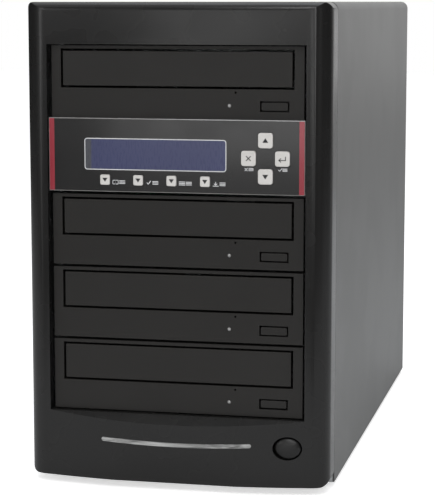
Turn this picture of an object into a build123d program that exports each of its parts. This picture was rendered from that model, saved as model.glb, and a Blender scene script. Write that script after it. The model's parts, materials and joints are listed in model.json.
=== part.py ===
"""Disc duplicator tower: four tray drives and a control panel in a steel case with a moulded bezel.

Millimetres. +Z is up, the front faces -Y and X runs across the front. The origin is the middle of
the bounding box's bottom face, so the feet stand on Z = 0.
"""
from build123d import *
from math import cos, radians, sin, sqrt
import os

# ---------------------------------------------------------------- driving dimensions
# disc drives
drive_width = 148.5
drive_height = 41.5
drive_bezel_depth = 5.5
shell_margin = 1.25
shell_width = drive_width - 2 * shell_margin
shell_height = 41.3
shell_length = 165.0
shell_sheet = 1.0
door_margin = 6.8
door_width = drive_width - 2 * door_margin
door_height = 20.0
door_rise = 18.4
door_gap = 1.25
door_thickness = 3.5
eject_width = 15.2
eject_height = 4.4
eject_gap = 0.85
eject_inset = 16.95
eject_across = drive_width / 2 - eject_inset
eject_rise = 7.5
eject_thickness = 3.0
eject_stem_radius = 1.5
eject_stem_length = 5.6
eject_travel = 0.8
eject_guide_thickness = 2.0
lamp_radius = 1.2
lamp_inset = 43.25
lamp_across = drive_width / 2 - lamp_inset
lamp_rise = 7.7
lamp_length = 7.0
pin_hole_radius = 0.65
pin_hole_inset = 39.55
pin_hole_across = drive_width / 2 - pin_hole_inset
pin_hole_rise = 15.2

# tray and loader
tray_side_gap = 8.5
tray_width = shell_width - 2 * tray_side_gap
tray_length = 158.0
tray_rise = 22.0
tray_height = 7.5
tray_floor = 1.5
tray_travel = 135.0
well_rim = 4.0
disc_well_radius = tray_width / 2 - well_rim
small_well_radius = 41.0
small_well_depth = 0.6
well_front_gap = 8.5
well_back = disc_well_radius + well_front_gap
tray_window = 42.0
tab_reach = 3.0
tab_thickness = 2.0
tab_rise = 2.0
tab_start = 20.0
guide_gap = 0.2
guide_thickness = 1.8
guide_wall = 2.0
deck_rise = 8.0
deck_sheet = 2.0
deck_inset = 3.0
standoff_radius = 3.0
motor_radius = 12.0
motor_height = 6.0
platter_radius = 15.0
platter_thickness = 2.5
platter_lift = 0.5
hub_cone_radius = 7.4
hub_cone_height = 2.6
spindle_radius = 1.5
sled_length = 24.0
sled_width = 40.0
sled_height = 7.5
sled_lift = 1.5
sled_travel = 35.0
sled_back = 20.0
lens_radius = 4.0
lens_height = 1.5
rod_radius = 1.5
rod_spacing = 32.0
rod_block = 4.0
clamp_radius = 15.0
clamp_drop = 2.0
clamp_clearance = 1.5
clamp_bridge = 20.0

# case
pillar_width = 13.9
opening_gap = 1.85
opening_width = drive_width + 2 * opening_gap
case_width = opening_width + 2 * pillar_width
case_height = 280.4
case_depth = 346.5
cover_sheet = 1.0
frame_sheet = 1.0
cover_bend = 5.0
cover_lip = 12.0
seam_gap = 0.5
foot_height = 3.0
foot_radius = 9.0
foot_inset = 25.0
foot_bevel = 0.8
pan_flange = 12.0
mount_flange = 11.0

# drive bays
bay_count = 5
bay_pitch = 43.0
bay_floor_height = 41.3
cage_depth = 150.0
cage_gap = 0.2
cage_inside = shell_width + 2 * cage_gap
cage_roof_gap = 2.0
screw_back_1 = 47.4
screw_back_2 = 126.6
screw_rise = 10.0

# bezel
bezel_depth = 20.5
bezel_wall = 2.5
bezel_lift = 2.0
pillar_reach = 4.0
side_round = 12.0
top_round = 5.0
corner_round = 5.5
reveal_wall = 2.0
belly_reach = 11.0
belly_drop = 4.5
belly_tuck_height = 10.0
belly_tuck = 1.6
post_radius = 3.0
post_bore = 1.2
post_bore_depth = 8.0
post_lower_across = 52.0
post_lower_rise = 9.0

# light strip and power button
strip_length = 89.3
strip_height = 2.4
strip_sag = 1.1
strip_centre = 1.15
strip_drop = 15.5
strip_proud = 0.3
strip_lip = 1.5
button_width = 15.4
button_height = 12.2
button_inset = 23.5
button_across = case_width / 2 - button_inset
button_drop = 16.1
button_gap = 0.8
button_thickness = 6.0
button_proud = 2.8
button_travel = 2.5
button_stem_radius = 2.5
button_stem_length = 9.0
collar_wall = 1.5
collar_length = 5.0
switch_size = 13.0
switch_seat = 4.0

# control panel
overlay_overlap = 1.25
overlay_width = drive_width + 2 * overlay_overlap
overlay_height = 42.5
overlay_lift = 1.2
overlay_thickness = 1.5
overlay_front = 3.0
housing_width = shell_width
housing_height = 39.0
housing_plate = 5.0
housing_arm = 1.5
housing_arm_length = 135.0
housing_ledge = 4.0
window_margin = 34.0
window_width = overlay_width - 2 * window_margin
window_height = 17.4
window_round = 1.2
window_across = -12.0
window_rise = 23.0
window_recess = 0.2
window_gap = 0.3
display_frame_margin = 4.5
display_frame_width = window_width + 2 * display_frame_margin
display_frame_height = 24.0
display_frame_depth = 3.5
key_width = 8.6
key_height = 8.8
key_round = 1.6
menu_key_width = 5.8
menu_key_height = 6.0
menu_key_round = 1.0
key_gap = 0.3
key_thickness = 2.5
key_proud = 0.3
key_travel = 0.6
diamond_inset = 22.9
diamond_across = overlay_width / 2 - diamond_inset
diamond_rise = 21.9
diamond_half_width = 9.8
diamond_half_height = 10.3
menu_first_across = -41.8
menu_pitch = 19.75
menu_rise = 8.1
menu_count = 4
key_pocket = 2.5
key_stem_radius = 1.5
key_stem_length = 5.0
key_switch_gap = 0.8
key_switch_size = 6.0
key_switch_height = 1.9
panel_post_radius = 2.5
board_sheet = 1.6
board_rise = 6.0
main_board_length = 100.0
key_board_height = 36.0
board_edge_gap = 0.3
socket_width = 8.0
socket_depth = 17.0
socket_height = 8.0
socket_count = 7
chip_size = 24.0
chip_height = 2.4
can_radius = 4.0
can_height = 11.0

# power supply
supply_margin = 15.0
supply_width = case_width - 2 * supply_margin
supply_height = 86.0
supply_length = 140.0
cutout_margin = 10.0
supply_cutout_width = supply_width - 2 * cutout_margin
supply_cutout_height = 70.0
supply_fan_across = -24.0
supply_fan_size = 70.0
supply_fan_depth = 15.0
inlet_across = 40.0
inlet_rise = 26.0
inlet_flange_width = 31.0
inlet_flange_height = 24.0
inlet_body_width = 27.0
inlet_body_height = 20.0
inlet_mouth_width = 24.0
inlet_mouth_height = 16.0
inlet_depth = 14.0
inlet_pin_spacing = 14.0
inlet_pin_width = 2.0
inlet_pin_height = 4.0
rocker_rise = 62.0
rocker_width = 10.4
rocker_height = 15.2
rocker_gap = 0.3
rocker_tilt = 8.0
rocker_rim = 2.2
rocker_pin_radius = 1.0
outside_flange = 1.6

# case fan, guards, vents and screws
case_fan_size = 80.0
case_fan_depth = 25.0
case_fan_rise = 146.0
fan_rim = 2.0
fan_tip_gap = 1.0
fan_blades = 7
blade_thickness = 1.5
blade_chord = 17.0
blade_pitch = 35.0
hub_share = 0.42
guard_wire_radius = 0.8
guard_sink = 0.3
guard_lift = 0.1
guard_rings = 4
guard_spoke_lap = 0.5
guard_pad_radius = 4.0
vent_width = 3.0
vent_length = 34.0
vent_pitch = 8.0
vent_rows = 6
vent_columns = 3
vent_top_margin = 18.0
screw_head_radius = 3.1
screw_head_height = 2.0
screw_shank_radius = 1.6
screw_shank_length = 5.0
drive_screw_head_radius = 2.8
drive_screw_head_height = 1.8
drive_screw_radius = 1.5
drive_screw_length = 3.0

# clearances
running_gap = 0.05
hole_gap = 0.2

# ---------------------------------------------------------------- places worked out from them
rear_reach = max(screw_head_height, 2 * guard_wire_radius + screw_head_height - cover_sheet)
front_reach = belly_reach + strip_proud
total_depth = front_reach + bezel_depth + case_depth + rear_reach
face_y = front_reach - total_depth / 2
pillar_y = face_y - pillar_reach
belly_y = face_y - belly_reach
seam_y = face_y + bezel_depth
rear_y = seam_y + case_depth
panel_y = rear_y - cover_sheet
supply_y = panel_y - frame_sheet
plate_back_y = seam_y + frame_sheet

base_z = foot_height
pan_top_z = base_z + frame_sheet
top_z = base_z + case_height
bezel_z = base_z + bezel_lift
floor_z = base_z + bay_floor_height
bays_top_z = floor_z + bay_count * bay_pitch
control_z = floor_z + 3 * bay_pitch
drive_bays = (4, 2, 1, 0)

half_width = case_width / 2
half_inside = half_width - cover_sheet
half_opening = opening_width / 2
half_cage = cage_inside / 2
cage_outside = half_cage + frame_sheet
drive_lift = (bay_pitch - drive_height) / 2
screw_places_y = (face_y + screw_back_1, face_y + screw_back_2)
strip_z = floor_z - strip_drop
button_z = floor_z - button_drop
disc_y = face_y + well_back
supply_top_z = pan_top_z + supply_height
case_fan_z = base_z + case_fan_rise
case_fan_holes = case_fan_size / 2 - 4.25
supply_fan_holes = supply_fan_size / 2 - 4.25


# ---------------------------------------------------------------- plain shapes
def block(x0, x1, y0, y1, z0, z1):
    """Box between two corners."""
    return Pos((x0 + x1) / 2, (y0 + y1) / 2, (z0 + z1) / 2) * Box(x1 - x0, y1 - y0, z1 - z0)


def rod_x(y, z, x0, x1, radius):
    """Cylinder along X."""
    return Pos((x0 + x1) / 2, y, z) * Rot(0, 90, 0) * Cylinder(radius, x1 - x0)


def rod_y(x, z, y0, y1, radius):
    """Cylinder along Y."""
    return Pos(x, (y0 + y1) / 2, z) * Rot(90, 0, 0) * Cylinder(radius, y1 - y0)


def rod_z(x, y, z0, z1, radius):
    """Cylinder along Z."""
    return Pos(x, y, (z0 + z1) / 2) * Cylinder(radius, z1 - z0)


def along_x(outline, x0, x1):
    """Outline in the YZ plane, extruded across."""
    return extrude(Plane.YZ.offset(x0) * outline, amount=x1 - x0)


def along_y(outline, y0, y1):
    """Outline in the XZ plane, extruded from front to back."""
    return extrude(Plane.XZ.offset(-y1) * outline, amount=y1 - y0)


def along_z(outline, z0, z1):
    """Outline in the XY plane, extruded upwards."""
    return extrude(Plane.XY.offset(z0) * outline, amount=z1 - z0)


def closed_face(*edges):
    """Face inside a closed run of edges."""
    return make_face(Wire(edges))


def arch(half, z0, z1, radius):
    """Outline with two round upper corners."""
    outline = Pos(0, (z0 + z1) / 2) * Rectangle(2 * half, z1 - z0)
    corners = outline.vertices().sort_by(Axis.Y)[-2:]
    return fillet(corners, radius)


def mirrored(shape):
    """A shape and its mirror image across X = 0."""
    return shape + mirror(shape, Plane.YZ)


def save(shape, node):
    """Write one node's solids."""
    export_step(shape, f"parts/{node}.step")


# ---------------------------------------------------------------- bezel
def bezel_plan(inset):
    """Plan of the bezel: two rounded pillars and the belly's arc between them."""
    half = half_width - inset
    front = pillar_y + inset
    centre_x = half_width - side_round
    centre_y = pillar_y + side_round
    diagonal = (side_round - inset) * sqrt(0.5)
    belly_front = belly_y + inset
    left_arc = ThreePointArc(
        (-half, centre_y), (-centre_x - diagonal, centre_y - diagonal), (-centre_x, front))
    right_arc = ThreePointArc(
        (centre_x, front), (centre_x + diagonal, centre_y - diagonal), (half, centre_y))
    belly_arc = ThreePointArc((-half_opening, front), (0, belly_front), (half_opening, front))
    return closed_face(
        Line((-half, seam_y), (-half, centre_y)),
        left_arc,
        Line((-centre_x, front), (-half_opening, front)),
        belly_arc,
        Line((half_opening, front), (centre_x, front)),
        right_arc,
        Line((half, centre_y), (half, seam_y)),
        Line((half, seam_y), (-half, seam_y)),
    )


def bezel_profile(inset):
    """Side view of the bezel: round top edge, scooped upper belly and tucked-in lower edge."""
    front = pillar_y + inset
    top = top_z - inset
    bottom = bezel_z + inset
    radius = top_round - inset
    diagonal = radius * (1 - sqrt(0.5))
    slope = belly_drop / (belly_reach - pillar_reach)
    scoop_offset = inset * sqrt(1 + slope * slope)
    scoop_top = floor_z + slope * inset - scoop_offset
    belly_front = belly_y + inset
    scoop_bottom = scoop_top - slope * (front - belly_front)
    tuck_z = bezel_z + belly_tuck_height
    points = (
        (front, top - radius), (front, scoop_top), (belly_front, scoop_bottom),
        (belly_front, tuck_z), (belly_front + belly_tuck, bottom), (seam_y, bottom),
        (seam_y, top), (front + radius, top))
    top_arc = ThreePointArc(points[-1], (front + diagonal, top - diagonal), points[0])
    return closed_face(*(Line(a, b) for a, b in zip(points, points[1:])), top_arc)


def bezel_block(inset):
    """Solid bezel, drawn in by an inset on every outer face but the seam."""
    height = top_z - bezel_z - 2 * inset
    middle = (top_z + bezel_z) / 2
    front_view = Pos(0, middle) * RectangleRounded(case_width - 2 * inset, height, corner_round - inset)
    solid = along_z(bezel_plan(inset), bezel_z, top_z)
    solid &= along_x(bezel_profile(inset), -half_width, half_width)
    solid &= along_y(front_view, belly_y, seam_y)
    return solid


def strip_outline(grow):
    """Round-ended slot that sags in its middle, grown all round."""
    reach = (strip_length - strip_height) / 2
    ends_z = strip_z + strip_sag / 2
    line = ThreePointArc(
        (strip_centre - reach, ends_z), (strip_centre, ends_z - strip_sag), (strip_centre + reach, ends_z))
    return SlotArc(line, strip_height + 2 * grow)


def button_outline(grow):
    """Oval of the power button, grown all round."""
    return Pos(button_across, button_z) * Ellipse(button_width / 2 + grow, button_height / 2 + grow)


def post_places():
    """Middles of the posts that the bezel is screwed to the front plate by."""
    pillar_x = (half_opening + reveal_wall + half_width - bezel_wall) / 2
    heights = (floor_z + bay_pitch / 2, floor_z + 2.5 * bay_pitch, floor_z + 4.5 * bay_pitch)
    places = [(side * pillar_x, height) for height in heights for side in (-1, 1)]
    lower_z = bezel_z + post_lower_rise
    return places + [(-post_lower_across, lower_z), (0, lower_z), (post_lower_across, lower_z)]


def make_front_bezel():
    """Moulded bezel with its bay opening, reveal, belly slot, button collar and posts."""
    outer = bezel_block(0)
    shell = outer - bezel_block(bezel_wall)
    reveal = block(
        -half_opening - reveal_wall, half_opening + reveal_wall, pillar_y + bezel_wall / 2, seam_y,
        floor_z - reveal_wall, bays_top_z + reveal_wall)
    collar = along_y(button_outline(button_gap + collar_wall), belly_y, pillar_y + collar_length)
    posts = [rod_y(x, z, belly_y, seam_y, post_radius) for x, z in post_places()]
    shell += (reveal & outer) + (collar & outer)
    for post in posts:
        shell += post & outer
    shell -= block(-half_opening, half_opening, belly_y, seam_y, floor_z, bays_top_z)
    shell -= along_y(strip_outline(running_gap), belly_y, pillar_y + bezel_wall)
    shell -= along_y(button_outline(button_gap), belly_y, pillar_y + collar_length)
    for x, z in post_places():
        shell -= rod_y(x, z, seam_y - post_bore_depth, seam_y, post_bore)
    return shell


def belly_ring(outer_offset, inner_offset):
    """Curved slab that follows the belly, between two depths behind its face."""
    reach = strip_height + strip_lip + strip_sag
    low, high = strip_z - reach, strip_z + reach
    return along_z(bezel_plan(outer_offset), low, high) - along_z(bezel_plan(inner_offset), low, high)


def make_light_strip():
    """Clear strip that fills the slot, with a lip behind the bezel's wall."""
    window = along_y(strip_outline(0), belly_y - strip_proud, seam_y) & belly_ring(-strip_proud, bezel_wall)
    lip = along_y(strip_outline(strip_lip), belly_y, seam_y) & belly_ring(bezel_wall, 2 * bezel_wall)
    return window + lip


def make_power_button():
    """Oval domed button on a stem that runs in the switch behind it."""
    cap_front = pillar_y - button_proud
    dome = Pos(button_across, cap_front + button_width, button_z) * Sphere(button_width)
    cap = along_y(button_outline(0), cap_front, cap_front + button_thickness) & dome
    stem_start = cap_front + button_thickness - collar_wall
    stem = rod_y(button_across, button_z, stem_start, stem_start + button_stem_length, button_stem_radius)
    return cap + stem


def make_power_switch():
    """Square push switch on the front plate; the button's stem slides in its bore."""
    half = switch_size / 2
    body_front = pillar_y - button_proud + button_thickness + button_travel + running_gap + hole_gap
    body = block(
        button_across - half, button_across + half, body_front, seam_y, button_z - half, button_z + half)
    neck = rod_y(button_across, button_z, seam_y, plate_back_y + switch_seat, half - collar_wall)
    bore = rod_y(button_across, button_z, body_front, seam_y, button_stem_radius + running_gap)
    return body + neck - bore


# ---------------------------------------------------------------- steel case
def make_base_pan():
    """Bottom sheet with a turned-up flange along each side."""
    pan = block(-half_inside, half_inside, plate_back_y, supply_y, base_z, pan_top_z)
    flange = block(
        half_inside - frame_sheet, half_inside, plate_back_y, supply_y, base_z, base_z + pan_flange)
    return pan + mirrored(flange)


def make_front_plate():
    """Upright sheet at the seam, with the bay opening, post holes and a foot flange."""
    outline = arch(half_inside, base_z, top_z - cover_sheet, cover_bend - cover_sheet)
    plate = along_y(outline, seam_y, plate_back_y)
    plate -= block(-half_opening, half_opening, seam_y, plate_back_y, floor_z, bays_top_z)
    for x, z in post_places():
        plate -= rod_y(x, z, seam_y, plate_back_y, post_bore + hole_gap)
    neck_radius = switch_size / 2 - collar_wall + hole_gap
    plate -= rod_y(button_across, button_z, seam_y, plate_back_y, neck_radius)
    foot = block(
        -half_inside + pan_flange, half_inside - pan_flange, plate_back_y, plate_back_y + mount_flange,
        pan_top_z, pan_top_z + frame_sheet)
    cage_slot = block(
        cage_outside - frame_sheet - hole_gap, cage_outside + mount_flange + hole_gap,
        plate_back_y, plate_back_y + mount_flange, pan_top_z, pan_top_z + frame_sheet)
    return plate + (foot - mirrored(cage_slot))


def make_drive_cage():
    """Two sides and a roof that carry the drives, standing on the pan behind the front plate."""
    back = plate_back_y + cage_depth
    roof_z = bays_top_z + cage_roof_gap
    side = block(half_cage, cage_outside, plate_back_y, back, pan_top_z, roof_z + frame_sheet)
    front_ear = block(
        cage_outside, cage_outside + mount_flange, plate_back_y, plate_back_y + frame_sheet,
        floor_z, bays_top_z)
    foot = block(
        cage_outside, cage_outside + mount_flange, plate_back_y, back, pan_top_z, pan_top_z + frame_sheet)
    cage = mirrored(side + front_ear + foot)
    cage += block(-half_cage, half_cage, plate_back_y, back, roof_z, roof_z + frame_sheet)
    for bay in range(bay_count):
        z = floor_z + bay * bay_pitch + drive_lift + screw_rise
        for y in screw_places_y:
            cage -= rod_x(y, z, -cage_outside, cage_outside, drive_screw_radius + hole_gap)
    return cage


def make_outer_cover():
    """Sheet folded over the top and down both sides, with a lip round the rear."""
    outer = arch(half_width, base_z, top_z, cover_bend)
    inner = arch(half_inside, base_z, top_z - cover_sheet, cover_bend - cover_sheet)
    skin = along_y(outer - inner, seam_y + seam_gap, rear_y)
    lip_half = half_inside - cover_lip
    lip = along_y(arch(half_inside, base_z, top_z - cover_sheet, cover_bend - cover_sheet), panel_y, rear_y)
    lip -= block(-lip_half, lip_half, panel_y, rear_y, base_z, top_z - cover_sheet - cover_lip)
    cover = skin + lip
    for x, z in cover_screw_places():
        cover -= rod_y(x, z, panel_y, rear_y, screw_shank_radius + hole_gap)
    return cover


def cover_screw_places():
    """Screws that hold the cover's rear lips, three a side."""
    x = half_inside - cover_lip / 2
    heights = (base_z + 2 * pan_flange, base_z + case_height / 2, top_z - 2 * pan_flange)
    return [(side * x, z) for z in heights for side in (-1, 1)]


def supply_screw_places():
    """Screws that hold the power supply to the rear panel."""
    x = supply_width / 2 - (supply_width - supply_cutout_width) / 4
    margin = (supply_height - supply_cutout_height) / 4
    return [(side * x, z) for z in (pan_top_z + margin, supply_top_z - margin) for side in (-1, 1)]


def corner_places(x, z, reach):
    """Four places round a fan's middle."""
    return [(x + across * reach, z + up * reach) for across in (-1, 1) for up in (-1, 1)]


def make_rear_panel():
    """Rear sheet with the supply's cut-out, the fan's opening, vent slots and two foot tabs."""
    outline = arch(half_inside, pan_top_z, top_z - cover_sheet, cover_bend - cover_sheet)
    panel = along_y(outline, supply_y, panel_y)
    cutout_rise = (supply_height - supply_cutout_height) / 2
    half_cutout = supply_cutout_width / 2
    panel -= block(
        -half_cutout, half_cutout, supply_y, panel_y, pan_top_z + cutout_rise,
        supply_top_z - cutout_rise)
    panel -= rod_y(0, case_fan_z, supply_y, panel_y, case_fan_size / 2 - fan_rim)
    for x, z in corner_places(0, case_fan_z, case_fan_holes) + supply_screw_places() + cover_screw_places():
        panel -= rod_y(x, z, supply_y, panel_y, screw_shank_radius + hole_gap)
    column_pitch = vent_length + vent_pitch
    for row in range(vent_rows):
        z = top_z - vent_top_margin - row * vent_pitch
        for column in range(vent_columns):
            x = (column - (vent_columns - 1) / 2) * column_pitch
            panel -= along_y(Pos(x, z) * SlotOverall(vent_length, vent_width), supply_y, panel_y)
    tab = block(
        supply_width / 2 + frame_sheet, half_inside - frame_sheet, supply_y - mount_flange, supply_y,
        pan_top_z, pan_top_z + frame_sheet)
    return panel + mirrored(tab)


def foot_places():
    """Middles of the four feet."""
    across = half_width - foot_inset
    return [(side * across, y) for y in (seam_y + foot_inset, rear_y - foot_inset) for side in (-1, 1)]


def make_feet():
    """Four rubber discs under the pan, bevelled where they meet the table."""
    feet = []
    for x, y in foot_places():
        disc = rod_z(x, y, 0, base_z, foot_radius)
        feet.append(chamfer(disc.edges().sort_by(Axis.Z)[0], foot_bevel))
    return Compound(feet)


# ---------------------------------------------------------------- screws
def screw_y(x, z, seat_y):
    """Pan-head screw that faces the rear; seat_y is the face under its head."""
    head = rod_y(x, z, seat_y, seat_y + screw_head_height, screw_head_radius)
    head = fillet(head.edges().sort_by(Axis.Y)[-1], screw_head_height / 2)
    recess = block(
        x - screw_head_radius / 2, x + screw_head_radius / 2, seat_y + screw_head_height / 2,
        seat_y + screw_head_height, z - screw_shank_radius / 4, z + screw_shank_radius / 4)
    cross = Pos(x, 0, z) * Rot(0, 90, 0) * Pos(-x, 0, -z) * recess
    return head + rod_y(x, z, seat_y - screw_shank_length, seat_y, screw_shank_radius) - recess - cross


def make_rear_screws():
    """Every screw of the rear: cover lips, power supply and both fan guards."""
    wire = 2 * guard_wire_radius
    screws = [screw_y(x, z, rear_y) for x, z in cover_screw_places()]
    screws += [screw_y(x, z, panel_y) for x, z in supply_screw_places()]
    screws += [screw_y(x, z, panel_y + wire) for x, z in corner_places(0, case_fan_z, case_fan_holes)]
    screws += [screw_y(x, z, supply_y + wire) for x, z in supply_fan_corners()]
    return Compound(screws)


def make_bay_screws():
    """Screws through the cage into each drive and into the panel housing."""
    screws = []
    for bay in range(bay_count):
        z = floor_z + bay * bay_pitch + drive_lift + screw_rise
        for y in screw_places_y:
            for side in (-1, 1):
                head = rod_x(
                    y, z, cage_outside, cage_outside + drive_screw_head_height, drive_screw_head_radius)
                shank = rod_x(y, z, cage_outside - drive_screw_length, cage_outside, drive_screw_radius)
                screw = head + shank
                screws.append(screw if side > 0 else mirror(screw, Plane.YZ))
    return Compound(screws)


# ---------------------------------------------------------------- fans
def supply_fan_corners():
    """Screw places of the power supply's fan."""
    return corner_places(supply_fan_across, pan_top_z + supply_height / 2, supply_fan_holes)


def fan_frame(x, z, back_y, size, depth, holes):
    """Square fan frame with a round duct, four struts, a hub plate and the rotor's stub shaft."""
    duct_radius = size / 2 - fan_rim
    hub_radius = duct_radius * hub_share
    front_y = back_y - depth
    strut = 2 * fan_rim
    frame = block(x - size / 2, x + size / 2, front_y, back_y, z - size / 2, z + size / 2)
    frame -= rod_y(x, z, front_y, back_y, duct_radius)
    for hole_x, hole_z in corner_places(x, z, holes):
        frame -= rod_y(hole_x, hole_z, front_y, back_y, screw_shank_radius + hole_gap)
    frame += block(x - size / 2 + fan_rim, x + size / 2 - fan_rim, front_y, front_y + fan_rim,
                   z - strut / 2, z + strut / 2)
    frame += block(x - strut / 2, x + strut / 2, front_y, front_y + fan_rim,
                   z - size / 2 + fan_rim, z + size / 2 - fan_rim)
    frame += rod_y(x, z, front_y, front_y + fan_rim, hub_radius)
    frame += rod_y(x, z, front_y, back_y - 2 * fan_rim, fan_shaft_radius(hub_radius))
    return frame


def fan_shaft_radius(hub_radius):
    """Stub shaft that a hub turns on."""
    return hub_radius / 8


def fan_rotor(x, z, back_y, size, depth):
    """Hub cup with pitched blades, bored to turn on the frame's stub shaft."""
    duct_radius = size / 2 - fan_rim
    hub_radius = duct_radius * hub_share
    tip_radius = duct_radius - fan_tip_gap
    front_y = back_y - depth + fan_rim + fan_tip_gap
    hub_back = back_y - fan_rim / 2
    span = tip_radius - hub_radius / 2
    chord = min(blade_chord, (hub_back - front_y) / sin(radians(90 - blade_pitch)))
    middle_y = (front_y + hub_back) / 2
    rotor = rod_y(x, z, front_y, hub_back, hub_radius)
    blade = Pos(hub_radius / 2 + span / 2, 0, 0) * Rot(blade_pitch, 0, 0) * Box(span, chord, blade_thickness)
    for index in range(fan_blades):
        rotor += Pos(x, middle_y, z) * Rot(0, index * 360 / fan_blades, 0) * blade
    rotor &= rod_y(x, z, front_y, hub_back, tip_radius)
    return rotor - rod_y(x, z, front_y, back_y - fan_rim, fan_shaft_radius(hub_radius) + running_gap)


def fan_guard(x, z, seat_y, size, holes):
    """Wire guard: rings on two crossing wires that end in pads under the fan's screws."""
    wire = guard_wire_radius
    outer_ring = size / 2 - fan_rim
    spoke_y = seat_y + wire + guard_lift
    ring_y = spoke_y + 2 * wire - guard_sink
    guard = None
    for index in range(guard_rings):
        radius = outer_ring * (index + 1) / guard_rings
        ring = Pos(x, ring_y, z) * Rot(90, 0, 0) * Torus(radius, wire)
        guard = ring if guard is None else guard + ring
    reach = holes * sqrt(2)
    for angle in (45, 135):
        spoke_length = 2 * (reach - guard_pad_radius + guard_spoke_lap)
        guard += Pos(x, spoke_y, z) * Rot(0, angle, 0) * Cylinder(wire, spoke_length)
    for pad_x, pad_z in corner_places(x, z, holes):
        guard += rod_y(pad_x, pad_z, seat_y, seat_y + 2 * wire, guard_pad_radius)
    for pad_x, pad_z in corner_places(x, z, holes):
        guard -= rod_y(pad_x, pad_z, seat_y, seat_y + 2 * wire, screw_shank_radius + hole_gap)
    return guard


def make_fan_guards():
    """Guards of the case fan and of the power supply's fan."""
    supply_fan_z = pan_top_z + supply_height / 2
    return Compound([
        fan_guard(0, case_fan_z, panel_y, case_fan_size, case_fan_holes),
        fan_guard(supply_fan_across, supply_fan_z, supply_y, supply_fan_size, supply_fan_holes),
    ])


# ---------------------------------------------------------------- power supply
def rocker_pivot():
    """Y and Z of the rocker's pin."""
    return supply_y + outside_flange - rocker_rim - rocker_pin_radius, pan_top_z + rocker_rise


def make_psu_case():
    """Folded supply case with its fan frame, vents, inlet cut-out and the rocker's rim and pin."""
    half = supply_width / 2
    front = supply_y - supply_length
    sheet = frame_sheet
    case = block(-half, half, front, supply_y, pan_top_z, supply_top_z)
    case -= block(-half + sheet, half - sheet, front + sheet, supply_y - sheet,
                  pan_top_z + sheet, supply_top_z - sheet)
    fan_z = pan_top_z + supply_height / 2
    case -= rod_y(supply_fan_across, fan_z, supply_y - sheet, supply_y, supply_fan_size / 2 - fan_rim)
    for x, z in supply_fan_corners() + supply_screw_places():
        case -= rod_y(x, z, supply_y - sheet, supply_y, screw_shank_radius + hole_gap)
    case += fan_frame(
        supply_fan_across, fan_z, supply_y - sheet, supply_fan_size, supply_fan_depth, supply_fan_holes)
    inlet_z = pan_top_z + inlet_rise
    case -= block(
        inlet_across - inlet_body_width / 2, inlet_across + inlet_body_width / 2, supply_y - sheet,
        supply_y, inlet_z - inlet_body_height / 2, inlet_z + inlet_body_height / 2)
    for index in range(-vent_rows, vent_rows + 1):
        outline = Pos(index * vent_pitch, fan_z) * Rot(0, 0, 90) * SlotOverall(vent_length, vent_width)
        case -= along_y(outline, front, front + sheet)
    pin_y, pin_z = rocker_pivot()
    hole_x = rocker_width / 2 + rocker_gap
    hole_z = rocker_height / 2 + 3 * rocker_gap
    rim_y = supply_y + outside_flange
    rim = block(inlet_across - hole_x - rocker_rim, inlet_across + hole_x + rocker_rim,
                pin_y - 2 * rocker_rim, rim_y, pin_z - hole_z - rocker_rim, pin_z + hole_z + rocker_rim)
    hole = block(inlet_across - hole_x, inlet_across + hole_x, pin_y - 2 * rocker_rim, rim_y,
                 pin_z - hole_z, pin_z + hole_z)
    pin = rod_x(pin_y, pin_z, inlet_across - hole_x, inlet_across + hole_x, rocker_pin_radius)
    return case + rim - hole + pin


def make_mains_inlet():
    """Male mains inlet: flange, body, mouth and three flat pins."""
    z = pan_top_z + inlet_rise
    x = inlet_across
    rim_y = supply_y + outside_flange
    mouth_y = rim_y - inlet_depth
    body_back = mouth_y - 2 * outside_flange
    flange = along_y(Pos(x, z) * RectangleRounded(inlet_flange_width, inlet_flange_height, outside_flange),
                     supply_y, rim_y)
    body = block(x - inlet_body_width / 2, x + inlet_body_width / 2, body_back, supply_y,
                 z - inlet_body_height / 2, z + inlet_body_height / 2)
    mouth = Pos(x, z) * Rectangle(inlet_mouth_width, inlet_mouth_height)
    mouth = chamfer(mouth.vertices().sort_by(Axis.Y)[-2:], inlet_mouth_height / 4)
    inlet = flange + body - along_y(mouth, mouth_y, rim_y)
    half = inlet_pin_width / 2
    low = z - inlet_pin_height
    pins = ((x - inlet_pin_spacing / 2, low), (x + inlet_pin_spacing / 2, low), (x, z))
    for pin_x, pin_low in pins:
        inlet += block(pin_x - half, pin_x + half, mouth_y, rim_y - inlet_pin_width,
                       pin_low, pin_low + inlet_pin_height)
    return inlet


def make_mains_switch():
    """Rocker with two facets, bored for its pin and resting with its upper end pressed in."""
    pin_y, pin_z = rocker_pivot()
    half = rocker_height / 2
    waist = rocker_rim + rocker_pin_radius
    points = [(rocker_pin_radius / 2, -half), (waist + rocker_pin_radius, -half), (waist, 0),
              (waist + rocker_pin_radius, half), (rocker_pin_radius / 2, half),
              (-2 * rocker_pin_radius, half / 3), (-2 * rocker_pin_radius, -half / 3)]
    body = along_x(make_face(Polyline(*points, close=True)), -rocker_width / 2, rocker_width / 2)
    body -= rod_x(0, 0, -rocker_width / 2, rocker_width / 2, rocker_pin_radius + running_gap)
    return Pos(inlet_across, pin_y, pin_z) * Rot(rocker_tilt, 0, 0) * body


# ---------------------------------------------------------------- control panel
def key_layout():
    """Name, place and size of every key: X and Z of its middle, then width, height and corner."""
    large = (key_width, key_height, key_round)
    small = (menu_key_width, menu_key_height, menu_key_round)
    middle = control_z + diamond_rise
    keys = {
        "up_key": (diamond_across, middle + diamond_half_height, *large),
        "down_key": (diamond_across, middle - diamond_half_height, *large),
        "escape_key": (diamond_across - diamond_half_width, middle, *large),
        "enter_key": (diamond_across + diamond_half_width, middle, *large),
    }
    for index in range(menu_count):
        across = menu_first_across + index * menu_pitch
        keys[f"menu_key_{index + 1}"] = (across, control_z + menu_rise, *small)
    return keys


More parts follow.
